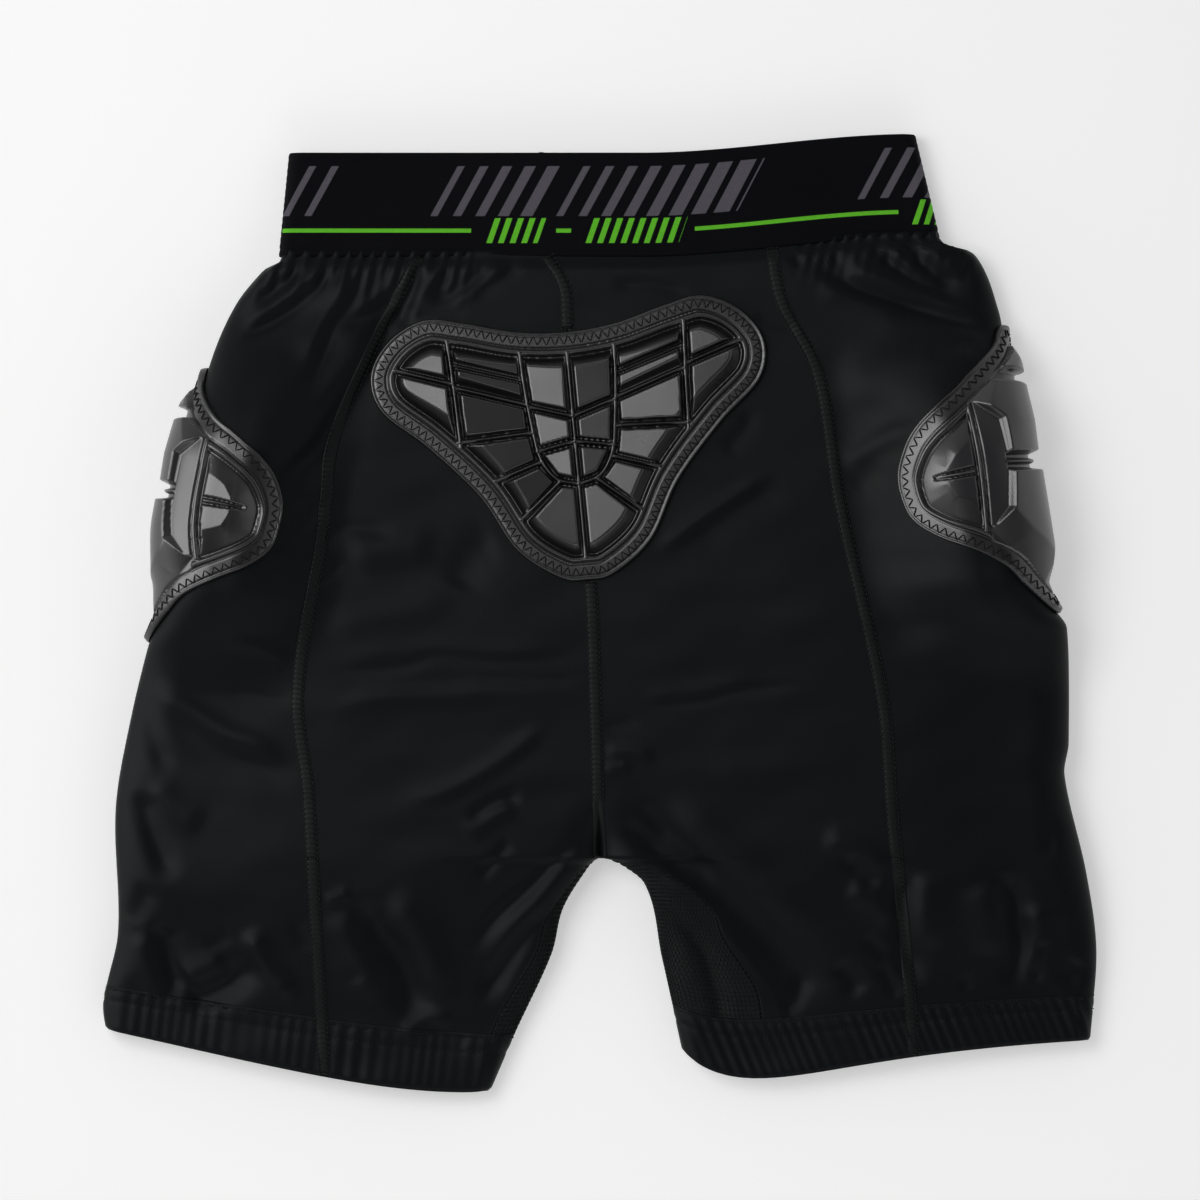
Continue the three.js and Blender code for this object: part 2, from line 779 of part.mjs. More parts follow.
// Holds the pad from inside.
function hipLining(name) {
  const ends = hipLiningEnds.map((y) => torsoV(y + hipPadRaise[name]));
  const edges = (s) => {
    const half = Math.max(hipPadHalfAt(s.yAt(0) - hipPadRaise[name]) - 4, 4);
    return [hipPadShift[name] + half, hipPadShift[name] - half];
  };
  return clothPatch(torsoSection, name, ends, edges, closeInMiddle(14), {
    rows: 12,
    out: -fabric - 2 * layerGap,
    thick: liningThick,
  });
}

// ---- Legs ----

const legRows = 6;
const hemStart = 0.76;

// The leg's inner side, and its seams as q from its outer fold
function legLines(name) {
  return {
    inner: name === "left" ? "right" : "left",
    backSeam: (s) => qOf(s, name, backSeamX(name, s)),
    frontSeam: (s) => -qOf(s, name, frontSeamX(name, s)),
  };
}

function legPanels(name) {
  const section = (v) => legSection(name, v);
  const lines = legLines(name);
  const span = [0, hemStart];
  const gussetBack = (s) => s.gusset(legs[name].backGusset);
  const gussetFront = (s) => -s.gusset(frontGusset);
  const options = { rows: legRows };
  const side = clothPatch(
    section,
    name,
    span,
    (s) => [lines.backSeam(s) - halfGap, lines.frontSeam(s) + halfGap],
    closeInMiddle(16),
    options,
  );
  const back = clothPatch(
    section,
    lines.inner,
    span,
    (s) => [qOf(s, lines.inner, backSeamX(name, s)) - halfGap, gussetBack(s) + halfGap],
    even(5),
    options,
  );
  const front = clothPatch(
    section,
    lines.inner,
    span,
    (s) => [-qOf(s, lines.inner, frontSeamX(name, s)) + halfGap, gussetFront(s) - halfGap],
    even(5),
    options,
  );
  const gusset = clothPatch(
    section,
    lines.inner,
    span,
    (s) => [gussetBack(s) - halfGap, gussetFront(s) + halfGap],
    even(12),
    options,
  );
  return [
    part(`${name}_leg_side_panel`, side, spandex),
    part(`${name}_leg_back_panel`, back, spandex),
    part(`${name}_leg_front_panel`, front, spandex),
    part(`${name}_thigh_mesh`, gusset, mesh),
  ];
}

function legHem(name) {
  const section = (v) => legSection(name, v);
  const length = hemHeight / (1 - hemStart); // of the leg
  const start = hemStart + hemGap / length;
  return [
    part(`${name}_hem_band`, tube(section, [start, 1], 2, { thick: fabric }), spandex),
    part(
      `${name}_hem_elastic`,
      tube(section, [start + 0.04, 0.97], 1, { out: -fabric - layerGap, thick: 1 }),
      elastic,
    ),
  ];
}

function legSeams(name) {
  const section = (v) => legSection(name, v);
  const lines = legLines(name);
  const back = seamStrip(section, name, [0.005, 0.995], lines.backSeam, 8);
  const front = innerSeamStrip(section, name, [0.005, hemStart], lines.frontSeam, 6);
  return [
    part(`${name}_leg_back_seam`, back, thread),
    part(`${name}_leg_front_seam`, front, thread),
  ];
}

// ---- Assembly ----

function group(name, ...children) {
  const made = new THREE.Group();
  made.name = name;
  made.add(...children);
  return made;
}

const sides = ["left", "right"];

function torso() {
  const seat = sides.map((name) => part(`seat_panel_${name}`, seatPanel(name), spandex));
  const hips = sides.map((name) => part(`hip_panel_${name}`, hipPanel(name), spandex));
  const fronts = sides.map((name) => part(`front_panel_${name}`, frontPanel(name), spandex));
  const span = [0.005, 0.995]; // nearly the whole torso
  const backSeams = sides.map((name) => {
    const q = (s) => qOf(s, name, backSeamX(name, s));
    return part(`back_seam_${name}`, seamStrip(torsoSection, name, span, q, torsoRows), thread);
  });
  const frontSeams = sides.map((name) => {
    const q = (s) => -qOf(s, name, frontSeamX(name, s));
    return part(`front_seam_${name}`, innerSeamStrip(torsoSection, name, span, q, torsoRows), thread);
  });
  const centre = (s) => qOf(s, "left", centreX(s));
  const frontCentre = (s) => -qOf(s, "left", 0);
  const frontCentreSeam = innerSeamStrip(torsoSection, "left", span, frontCentre, torsoRows);
  return [
    ...seat,
    ...hips,
    ...fronts,
    ...backSeams,
    ...frontSeams,
    part("centre_seam_upper", seamStrip(torsoSection, "left", [0.005, torsoV(141)], centre, 2), thread),
    part("centre_seam_lower", seamStrip(torsoSection, "left", [torsoV(14.5), 0.99], centre, 6), thread),
    part("centre_seam_front", frontCentreSeam, thread),
  ];
}

function pads() {
  return [
    part("tailbone_pad", tailbonePad(), foam),
    part("tailbone_pad_stitch", tailboneStitch(), thread),
    part("tailbone_pad_lining", tailboneLining(), lining),
    ...sides.flatMap((name) => [
      part(`hip_pad_${name}`, hipPad(name), foam),
      part(`hip_pad_stitch_${name}`, hipStitch(name), thread),
      part(`hip_pad_lining_${name}`, hipLining(name), lining),
    ]),
  ];
}

const shorts = group(
  "impact_shorts",
  group(
    "hips",
    part("waistband", tube(bandSection, [0, 1], 2, { thick: bandThick }), elastic),
    part("waistband_join", waistbandJoin(), thread),
    ...torso(),
    ...pads(),
  ),
  ...sides.map((name) => group(`${name}_leg`, ...legPanels(name), ...legHem(name), ...legSeams(name))),
);

// The origin is the middle of the footprint, on the table.
const bounds = new THREE.Box3().setFromObject(shorts);
const centre = bounds.getCenter(new THREE.Vector3());
shorts.position.set(-centre.x, -centre.y, -bounds.min.z);

export default shorts;
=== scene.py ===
# Padded impact shorts lying flat, back upwards. Lengths are in millimetres until a mesh is made.
import json
import math
import bpy
import numpy as np
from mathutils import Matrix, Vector


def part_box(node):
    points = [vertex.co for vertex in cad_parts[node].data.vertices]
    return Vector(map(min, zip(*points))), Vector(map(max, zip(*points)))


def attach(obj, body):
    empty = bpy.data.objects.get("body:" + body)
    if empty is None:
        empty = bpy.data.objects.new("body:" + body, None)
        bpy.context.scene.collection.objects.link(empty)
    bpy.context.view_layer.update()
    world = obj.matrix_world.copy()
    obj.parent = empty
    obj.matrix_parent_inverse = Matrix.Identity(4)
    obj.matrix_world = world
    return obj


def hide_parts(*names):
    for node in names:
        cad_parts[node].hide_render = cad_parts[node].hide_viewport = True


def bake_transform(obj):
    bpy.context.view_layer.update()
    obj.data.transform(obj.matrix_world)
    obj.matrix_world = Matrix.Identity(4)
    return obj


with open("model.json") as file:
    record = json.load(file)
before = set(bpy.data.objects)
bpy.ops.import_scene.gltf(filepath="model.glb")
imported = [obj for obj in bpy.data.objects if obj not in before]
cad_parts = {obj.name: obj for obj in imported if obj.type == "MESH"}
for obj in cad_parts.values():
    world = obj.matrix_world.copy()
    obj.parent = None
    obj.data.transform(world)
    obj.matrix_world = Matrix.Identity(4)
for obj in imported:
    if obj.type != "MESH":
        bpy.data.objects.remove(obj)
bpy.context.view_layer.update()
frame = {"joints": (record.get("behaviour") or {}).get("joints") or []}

cut = {
    "bandHeight": 50.0,
    "bandBottom": 173.5,
    "bandDepth": 14.0,
    "bandFold": 6.0,
    "tiltRise": 9.0,         # the band's right half lies this much higher
    "crotchY": -115.5,
    "seatHeight": 25.0,
    "seatFall": 9.0,
    "hipHeight": 44.0,
    "padSink": 10.8,
    "hemStart": 0.78,        # along a leg, from 0 at the crotch to 1 at the hem
    "clothThick": 0.8,
    "grid": 1.7,             # mesh spacing of the cloth
}
# side outlines and seams as (y, x)
outline = {
    "left": [(174, -156), (151, -175), (120, -188), (47, -205), (17, -206), (1, -210.5),
             (-14, -217), (-50, -226), (-92, -233), (-150, -232), (-182, -239), (-200, -236)],
    "right": [(174, 166), (165, 181), (140, 192), (126, 194), (108, 195.5), (92, 198.5),
              (58, 204.5), (30, 209), (16, 211.5), (4, 218), (-5, 224), (-60, 225.5),
              (-76, 223.5), (-123, 234), (-160, 239), (-200, 236)],
    "leftInseam": [(-115, -2.4), (-139, -17.5), (-162, -23.5), (-200, -41), (-230, -54)],
    "rightInseam": [(-115, 4.5), (-128, 21.5), (-164, 30), (-207, 39.5), (-215, 41)],
    "leftBack": [(174, -87), (133, -108), (85, -127), (37, -133.5), (-37, -145), (-83, -140),
                 (-155, -136), (-226, -132)],
    "rightBack": [(184, 82), (153, 87), (118, 104.5), (56, 115), (-39, 135.5), (-98, 140.5),
                  (-159, 147), (-210, 151)],
    "centre": [(174, -25), (158, -17), (140, -15.5), (17, -4.5), (-46, -2), (-116, 0)],
}
frontSeam = {"waist": 92.0, "hem": 140.0}
legs = {
    "left": {"outerY": -193, "innerY": -228, "drop": 8, "lowest": 0.45,
             "backGusset": [7, 13, 15, 12]},
    "right": {"outerY": -202, "innerY": -209, "drop": 14, "lowest": 0.2,
              "backGusset": [17, 35, 47, 44]},
}
frontGusset = [16, 33, 38, 36]

bandTop = cut["bandBottom"] + cut["bandHeight"] + cut["tiltRise"]
shift = np.array([
    (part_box("waistband")[0][0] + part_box("waistband")[1][0]) * 500 - 4.5,
    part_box("waistband")[1][1] * 1000 - bandTop,
    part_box("front_panel_left")[0][2] * 1000,
])


def smooth(low, high, at):
    t = np.clip((np.asarray(at, float) - low) / (high - low), 0, 1)
    return t * t * (3 - 2 * t)


def mix(a, b, t):
    return a + (b - a) * t


def lineThrough(points):
    # a smooth line through (y, x) points, read at any y
    points = sorted(points)
    ys = np.array([p[0] for p in points], float)
    xs = np.array([p[1] for p in points], float)
    slopes = np.empty(len(ys))
    for i in range(len(ys)):
        a, b = max(i - 1, 0), min(i + 1, len(ys) - 1)
        slopes[i] = (xs[b] - xs[a]) / (ys[b] - ys[a])

    def at(y):
        y = np.asarray(y, float)
        i = np.clip(np.searchsorted(ys, y, side="right") - 1, 0, len(ys) - 2)
        h = ys[i + 1] - ys[i]
        t = np.clip((y - ys[i]) / h, 0, 1)
        s = 1 - t
        ends = xs[i] * s * s * (1 + 2 * t) + xs[i + 1] * t * t * (3 - 2 * t)
        return ends + h * (slopes[i] * s * s * t - slopes[i + 1] * t * t * s)
    return at


lineAt = {name: lineThrough(points) for name, points in outline.items()}


def frontSeamAt(y):
    return mix(frontSeam["hem"], frontSeam["waist"], smooth(-230, cut["bandBottom"], y))


def bandTilt(x):
    return cut["tiltRise"] * smooth(20, 150, x)


def alongLine(values, t):
    # evenly spaced values, read at t from 0 to 1
    at = np.clip(t, 0, 1) * (len(values) - 1)
    i = np.minimum(np.floor(at).astype(int), len(values) - 2)
    values = np.asarray(values, float)
    return mix(values[i], values[i + 1], smooth(0, 1, at - i))


def tiltedLine(y, share=1.0):
    # a level line that rises with the band's right half
    def yAt(x):
        return y + bandTilt(x) * share
    return yAt


def torsoSection(v):
    v = np.asarray(v, float)
    y = mix(cut["bandBottom"], cut["crotchY"], v)
    bulge = smooth(150, 75, y) * smooth(-40, 20, y)
    low = mix(cut["bandDepth"] + 3, 23, smooth(150, 60, y))
    return {
        "y": y, "left": lineAt["left"](y), "right": lineAt["right"](y),
        "yAt": tiltedLine(y, smooth(0.4, 0, v)),
        "side": mix(low, cut["hipHeight"], bulge),
        "middle": cut["seatHeight"] - cut["seatFall"] * np.clip(y / cut["bandBottom"], 0, 1),
        "lift": cut["padSink"] * smooth(135, 95, y) * smooth(-32, 4, y),
        "fold": mix(cut["bandFold"], 20, smooth(0, 0.2, v)),
        "dip": smooth(-84, cut["crotchY"], y), "centre": lineAt["centre"](y),
    }


def bandSection(v):
    v = np.asarray(v, float)
    y = mix(cut["bandBottom"] + cut["bandHeight"], cut["bandBottom"], v)
    depth = np.full_like(y, cut["bandDepth"])
    return {
        "y": y, "left": mix(-150, -155, v), "right": mix(152, 164, v),
        "yAt": tiltedLine(y),
        "side": depth, "middle": depth, "lift": depth * 0,
        "fold": np.full_like(y, cut["bandFold"]),
    }


def legSection(name):
    leg = legs[name]

    def section(v):
        v = np.asarray(v, float)
        outerY = mix(cut["crotchY"], leg["outerY"], v)
        innerY = mix(cut["crotchY"], leg["innerY"], v)
        outer = lineAt[name](outerY)
        inner = lineAt[name + "Inseam"](innerY) * smooth(-0.05, 0.04, v)

        def yAt(x):
            out = np.clip((x - inner) / (outer - inner), 0, 1)
            drop = out / leg["lowest"] * np.exp(1 - out / leg["lowest"])
            return mix(innerY, outerY, out) - leg["drop"] * v * v * drop
        height = smooth(0, 0.9, v)
        return {
            "y": outerY, "left": np.minimum(outer, inner), "right": np.maximum(outer, inner),
            "yAt": yAt, "side": mix(23, 13, height), "middle": mix(cut["seatHeight"], 14, height),
            "lift": v * 0, "fold": mix(20, 8, v),
        }
    return section


def foldLength(s):
    return math.pi / 2 * np.hypot(s["fold"], (s["side"] - s["lift"]) / 2) * math.sqrt(0.5)


def clothPoint(s, side, q):
    # q is the distance round from a side fold: more than 0 on the back, less than 0 on the front
    quarter = foldLength(s)
    turn = math.pi / 2 * np.minimum(np.abs(q) / quarter, 1)
    inward = np.where(np.abs(q) < quarter, s["fold"] * (1 - np.cos(turn)),
                      s["fold"] + np.abs(q) - quarter)
    back = mix(s["side"], s["middle"], smooth(9, 65, inward - s["fold"]))
    front = s["lift"] * (1 - smooth(66, 96, inward))
    mid = (s["side"] + s["lift"]) / 2
    z = mid + (np.where(q > 0, back, front) - mid) * np.sin(turn)
    x = s["left"] + inward if side == "left" else s["right"] - inward
    if "dip" in s:
        # down to the crotch the two faces draw together along the centre
        spread = np.clip(1 - np.abs(x - s["centre"]) / 20, 0, 1)
        z = mix(z, mid + (z - mid) * np.sqrt(1 - spread ** 2), s["dip"])
    return np.stack(np.broadcast_arrays(x, s["yAt"](x), z), axis=-1)


def qOf(s, side, x):
    inward = x - s["left"] if side == "left" else s["right"] - x
    quarter = foldLength(s)
    near = np.clip(1 - np.maximum(inward, 0) / s["fold"], -1, 1)
    return np.where(inward >= s["fold"], quarter + inward - s["fold"],
                    quarter * np.arccos(near) / (math.pi / 2))


def clothNormal(sectionAt, v, side, q):
    v, q = np.broadcast_arrays(np.asarray(v, float), np.asarray(q, float))
    down = clothPoint(sectionAt(v + 0.003), side, q) - clothPoint(sectionAt(v - 0.003), side, q)
    s = sectionAt(v)
    across = clothPoint(s, side, q + 0.4) - clothPoint(s, side, q - 0.4)
    n = np.cross(down, across) if side == "left" else np.cross(across, down)
    return n / np.maximum(np.linalg.norm(n, axis=-1, keepdims=True), 1e-9)


# creases and gathers of the back: (points, height, width), less than 0 sinks

creases = [
    ([(-90, 168), (-98, 147), (-113, 118), (-130, 90), (-145, 65), (-155, 40)], -7, 9),
    ([(-103, 138), (-119, 118), (-135, 92), (-151, 66)], 3.5, 9),
    ([(-133, 60), (-146, 40), (-162, 27)], -3, 5),
    ([(-140, 171), (-155, 158), (-167, 149)], -2.5, 3.5),
    ([(-124, 171), (-144, 152), (-162, 140), (-177, 131)], -3, 3.5),
    ([(-132, 170), (-150, 153), (-172, 139)], 2, 5),
    ([(-113, 171), (-119, 153), (-127, 142), (-135, 120), (-144, 100)], -3.4, 4),
    ([(-119, 168), (-126, 151), (-135, 138), (-144, 118)], 2.2, 6),
    ([(-95, 157), (-110, 147), (-127, 138)], -2.4, 3.5),
    ([(-103, 171), (-108, 160), (-113, 151)], -2, 3),
    ([(-84, 170), (-92, 152), (-98, 138)], -3, 4),
    ([(-78, 170), (-86, 153), (-95, 142)], 2, 4),
    ([(-71, 168), (-82, 156), (-91, 145)], -2, 3.5),
    ([(-52, 171), (-64, 159), (-84, 150)], -2.2, 3.5),
    ([(-37, 171), (-49, 162), (-62, 154)], -1.5, 3),
    ([(-44, 170), (-58, 160), (-74, 151)], 1.2, 4),
    ([(-92, 144), (-62, 147)], -0.7, 2.5),
    ([(-122, 28), (-96, 35), (-77, 33)], 1.2, 9),
    ([(-70, 13), (-60, 30), (-48, 37)], -2.2, 9),
    ([(-138, 33), (-120, 43), (-96, 39)], -1.2, 4),
    ([(-140, 14), (-122, 27)], -1, 3),
    ([(-177, -11), (-162, -15), (-148, -21)], 1, 3.5),
    ([(-220, -31), (-201, -42), (-181, -55), (-162, -63), (-148, -74)], 2.6, 6),
    ([(-209, -45), (-185, -63), (-162, -72), (-144, -88)], -1.8, 8),
    ([(-180, -34), (-162, -38), (-146, -40)], -0.8, 2.5),
    ([(-134, -26), (-96, -24), (-77, -18), (-48, -21), (-5, -18)], -0.8, 3),
    ([(-130, -20), (-86, -15), (-38, -16), (-6, -13)], 0.7, 5),
    ([(-62, -28), (-34, -31), (-5, -29)], -0.8, 3),
    ([(-135, -47), (-113, -38), (-77, -37), (-38, -35), (-5, -35)], 1, 5),
    ([(-133, -42), (-115, -35), (-86, -32), (-48, -30)], -0.6, 4),
    ([(-132, -6), (-106, 2), (-67, 8)], 0.8, 7),
    ([(-130, -60), (-96, -60), (-62, -58), (-19, -52)], -0.8, 7),
    ([(-222, -34), (-216, -54), (-206, -76)], -3, 5),
    ([(-221, -81), (-216, -101), (-204, -128)], -4.5, 6),
    ([(-215, -78), (-205, -90), (-189, -100)], 1.6, 7),
    ([(-228, -146), (-221, -137), (-215, -128)], -3, 6),
    ([(-210, -145), (-208, -163), (-203, -185)], -5.5, 6),
    ([(-221, -150), (-217, -167), (-208, -184)], 2, 7),
    ([(-201, -186), (-188, -181), (-174, -173), (-168, -162)], -5.5, 7),
    ([(-199, -176), (-190, -170), (-179, -165)], 1.8, 8),
    ([(-170, -149), (-159, -167), (-148, -186)], 3.2, 5),
    ([(-162, -156), (-152, -179)], -1.6, 3),
    ([(-190, -160), (-177, -151)], -1.4, 4),
    ([(-146, -143), (-141, -162)], -1.2, 4),
    ([(-112, -132), (-108, -150), (-96, -165), (-90, -185), (-96, -200)], -6.5, 9),
    ([(-103, -132), (-89, -150), (-81, -170), (-77, -188)], 2.4, 9),
    ([(-125, -138), (-119, -155), (-112, -174), (-112, -191)], 2, 8),
    ([(-117, -168), (-117, -175)], -1.5, 4),
    ([(-132, -137), (-119, -131)], 1, 3),
    ([(-6, -105), (-19, -115), (-31, -128), (-48, -143), (-64, -161)], -2.6, 3.5),
    ([(-4, -110), (-18, -123), (-29, -137), (-43, -152), (-58, -172)], 1.8, 6),
    ([(-37, -84), (-52, -90), (-65, -100)], -2.6, 3.5),
    ([(-40, -88), (-54, -95), (-66, -106)], 1.2, 5),
    ([(-42, -106), (-59, -127)], -1.6, 3),
    ([(-24, -50), (-52, -71), (-77, -84), (-98, -87)], 1.3, 4),
    ([(-62, -205), (-73, -201), (-84, -195)], -1.6, 4),
    ([(-96, -203), (-84, -192), (-71, -197)], 1.4, 4),
    ([(-23, -138), (-38, -155), (-49, -172), (-59, -188)], -3.4, 5),
    ([(3, -90), (22, -103), (48, -122), (73, -146), (96, -170), (116, -182)], -8, 13),
    ([(19, -120), (48, -135), (66, -157), (91, -187)], 1.5, 4),
    ([(17, -88), (41, -110), (56, -130)], -2.4, 4),
    ([(9, -99), (25, -110), (43, -124)], -2.2, 4),
    ([(29, -87), (56, -112), (80, -136), (106, -159)], 2.4, 12),
    ([(106, -105), (126, -112), (138, -124)], 1.6, 6),
    ([(118, -115), (134, -130)], -2.2, 5),
    ([(118, -129), (132, -136), (142, -148)], 1.8, 6),
    ([(126, -153), (140, -165)], -1.6, 3.5),
    ([(134, -165), (144, -184)], -1.8, 3.5),
    ([(148, -117), (145, -138), (147, -161), (156, -179)], -5.5, 6),
    ([(156, -121), (156, -143), (159, -162)], 1.8, 8),
    ([(192, -120), (200, -141), (202, -163), (193, -178)], -5.5, 6),
    ([(182, -126), (187, -145), (187, -164)], 2, 9),
    ([(208, -136), (210, -155), (206, -174)], 1.8, 6),
    ([(213, -154), (209, -177)], -2, 3),
    ([(232, -165), (224, -178)], -2.5, 6),
    ([(217, -95), (215, -117)], -1.6, 4),
    ([(175, -172), (177, -180)], -1.2, 3),
    ([(86, -189), (94, -184), (99, -170)], -2, 4),
    ([(114, -165), (126, -182)], -2.6, 5),
    ([(20, -42), (48, -40), (68, -35), (102, -32)], -1.1, 2.5),
    ([(19, -38), (48, -35), (77, -29)], 0.6, 5),
    ([(2, -65), (15, -64), (27, -67)], 1.1, 3),
    ([(2, -73), (15, -71)], 0.8, 2.5),
    ([(2, -52), (19, -50)], -0.6, 2.5),
    ([(48, -73), (86, -71), (130, -66)], 0.7, 8),
    ([(103, 176), (107, 168), (121, 160), (144, 152), (168, 144), (193, 136)], -3.6, 4),
    ([(113, 172), (134, 162), (158, 153), (185, 144)], 2.2, 6),
    ([(103, 160), (125, 151), (149, 144)], 1.2, 7),
    ([(95, 175), (93, 169)], -2, 3),
    ([(111, 176), (116, 169), (123, 166)], -2, 3),
    ([(129, 179), (144, 167), (158, 159), (176, 150)], -2.6, 3.5),
    ([(138, 178), (153, 166), (168, 156)], 1.6, 4),
    ([(147, 181), (156, 168), (165, 162), (174, 164)], -3, 4),
    ([(155, 180), (166, 171), (177, 168)], 2, 5),
    ([(5, 159), (24, 160), (45, 156)], -1.2, 3),
    ([(73, 145), (89, 140), (96, 137)], -0.9, 2.5),
    ([(26, 31), (48, 47), (71, 62), (85, 69)], 1.3, 3.5),
    ([(43, 35), (67, 52), (91, 61)], -0.8, 8),
    ([(113, 110), (144, 120), (187, 130)], 2, 12),
    ([(156, 126), (182, 133)], -1.2, 4),
    ([(116, 72), (134, 84), (153, 93)], 1.3, 5),
    ([(122, 61), (137, 73)], -0.8, 5),
    ([(59, 79), (70, 91), (73, 102)], -1, 4),
]
clothFeel = {
    "gatherPitch": 6.5, "gatherHeight": 0.9, "gatherLength": 13.0,
    "ripple": 0.22,          # broad unevenness of cloth that isn't pulled tight
    "rippleWaves": 26, "seed": 7,
    "riseStrength": 1.15, "sinkStrength": 0.72,
    "bandNip": 3.4,          # how far the cloth is drawn in under the band
}


def smoothPath(points, steps=7):
    # Catmull-Rom through a few points
    p = np.array(points, float)
    p = np.vstack([2 * p[0] - p[1], p, 2 * p[-1] - p[-2]])
    out = []
    for i in range(1, len(p) - 2):
        for t in np.arange(steps) / steps:
            out.append(0.5 * (2 * p[i] + (p[i + 1] - p[i - 1]) * t
                              + (2 * p[i - 1] - 5 * p[i] + 4 * p[i + 1] - p[i + 2]) * t ** 2
                              + (3 * p[i] - p[i - 1] - 3 * p[i + 1] + p[i + 2]) * t ** 3))
    out.append(p[-2])
    return np.array(out)


def toPath(x, y, path):
    # distance to a path, and how far along it the nearest point is, from 0 to 1
    best = np.full(x.shape, 1e9)
    along = np.zeros(x.shape)
    lengths = np.linalg.norm(np.diff(path, axis=0), axis=1)
    total, run = lengths.sum(), 0.0
    for a, b, length in zip(path[:-1], path[1:], lengths):
        d = (b - a) / max(length, 1e-9)
        t = np.clip((x - a[0]) * d[0] + (y - a[1]) * d[1], 0, length)
        gone = np.hypot(x - a[0] - t * d[0], y - a[1] - t * d[1])
        nearer = gone < best
        best = np.where(nearer, gone, best)
        along = np.where(nearer, (run + t) / total, along)
        run += length
    return best, along


creasePaths = [(smoothPath(points, 4), height, width) for points, height, width in creases]
rng = np.random.default_rng(clothFeel["seed"])
waves = [(2 * math.pi / rng.uniform(16, 70), rng.uniform(0, math.pi), rng.uniform(0, 6.28))
         for _ in range(clothFeel["rippleWaves"])]


def ripple(x, y):
    total = np.zeros(np.broadcast(x, y).shape)
    for k, heading, phase in waves:
        total += np.sin(k * (x * math.cos(heading) * 0.5 + y * math.sin(heading)) + phase)
    return total * clothFeel["ripple"] / math.sqrt(len(waves)) * 1.4


def backRelief(x, y):
    # how far the back's cloth stands off its smooth shape
    total = ripple(x, y)
    for path, height, width in creasePaths:
        near = ((x > path[:, 0].min() - 3 * width) & (x < path[:, 0].max() + 3 * width)
                & (y > path[:, 1].min() - 3 * width) & (y < path[:, 1].max() + 3 * width))
        if not near.any():
            continue
        d, along = toPath(x[near], y[near], path)
        taper = smooth(0, 0.22, along) * smooth(1, 0.72, along)
        strength = clothFeel["riseStrength"] if height > 0 else clothFeel["sinkStrength"]
        total[near] += height * strength * taper * np.exp(-(d / width) ** 2)
    below = cut["bandBottom"] + bandTilt(x) - y
    where = smooth(-55, -75, x) + smooth(88, 104, x)
    wave = np.sin(2 * math.pi * (x + 0.25 * below) / clothFeel["gatherPitch"]
                  + 1.3 * np.sin(x / 9.0))
    fall = np.exp(-(below / clothFeel["gatherLength"]) ** 2)
    total += clothFeel["gatherHeight"] * where * wave * fall
    total -= clothFeel["bandNip"] * (1 - smooth(-1, 7, below))
    return total


def clothAt(sectionAt, v, side, q, out=0.0, relief=True):
    v, q = np.broadcast_arrays(np.asarray(v, float), np.asarray(q, float))
    s = sectionAt(v)
    p = clothPoint(s, side, q)
    n = clothNormal(sectionAt, v, side, q)
    lift = np.full(v.shape, 1.0) * out
    if relief:
        onBack = smooth(0.15, 1.0, q / foldLength(s))
        below = cut["bandBottom"] + bandTilt(p[..., 0]) - p[..., 1]
        lift = lift + backRelief(p[..., 0], p[..., 1]) * onBack
        lift = lift - clothFeel["bandNip"] * (1 - smooth(-1, 7, below)) * (1 - onBack)
    return p + n * lift[..., None]


def faceGrid(rows, cols, ring=False):
    i, j = np.meshgrid(np.arange(rows - 1), np.arange(cols if ring else cols - 1), indexing="ij")
    k = (j + 1) % cols
    return np.stack([i * cols + j, (i + 1) * cols + j, (i + 1) * cols + k, i * cols + k],
                    axis=-1).reshape(-1, 4)


def makeMesh(name, points, faces, material, uv=None, smoothShade=True):
    # points in millimetres; faces are turned so that they point away from the middle
    points = np.asarray(points, float).reshape(-1, 3)
    mesh = bpy.data.meshes.new(name)
    mesh.from_pydata(((points + shift) * 0.001).tolist(), [], [list(map(int, f)) for f in faces])
    if uv is not None:
        layer = mesh.uv_layers.new(name="clothMap")
        corner = np.empty(len(mesh.loops), int)
        mesh.loops.foreach_get("vertex_index", corner)
        layer.data.foreach_set("uv", np.asarray(uv, float).reshape(-1, 2)[corner].ravel())
    mesh.update()
    if smoothShade:
        mesh.polygons.foreach_set("use_smooth", [True] * len(mesh.polygons))
    mesh.materials.append(material)
    piece = bpy.data.objects.new(name, mesh)
    bpy.context.collection.objects.link(piece)
    return piece


def gridPiece(name, points, material, uv=None, ring=False, outward=None):
    # a sheet or ring of quads; outward gives the direction that its faces look at one point
    rows, cols = points.shape[:2]
    faces = faceGrid(rows, cols, ring)
    flat = points.reshape(-1, 3)
    a, b, c = flat[faces[:, 0]], flat[faces[:, 1]], flat[faces[:, 3]]
    n = np.cross(b - a, c - a)
    want = outward.reshape(-1, 3)[faces[:, 0]]
    if (n * want).sum() < 0:
        faces = faces[:, ::-1]
    return makeMesh(name, flat, faces, material, uv)


def thicken(piece, thick, offset=-1):
    wall = piece.modifiers.new("thickness", "SOLIDIFY")
    wall.thickness = thick * 0.001
    wall.offset = offset
    return piece


def joinPieces(first, *others):
    with bpy.context.temp_override(active_object=first, selected_editable_objects=[first, *others]):
        bpy.ops.object.join()
    return first


def meshArea(piece):
    return sum(p.area for p in piece.data.polygons)


def addNode(tree, kind, inputs=(), **settings):
    node = tree.nodes.new(kind)
    for key, value in settings.items():
        setattr(node, key, value)
    for name, source in dict(inputs).items():
        if isinstance(source, bpy.types.NodeSocket):
            tree.links.new(source, node.inputs[name])
        else:
            node.inputs[name].default_value = source
    return node


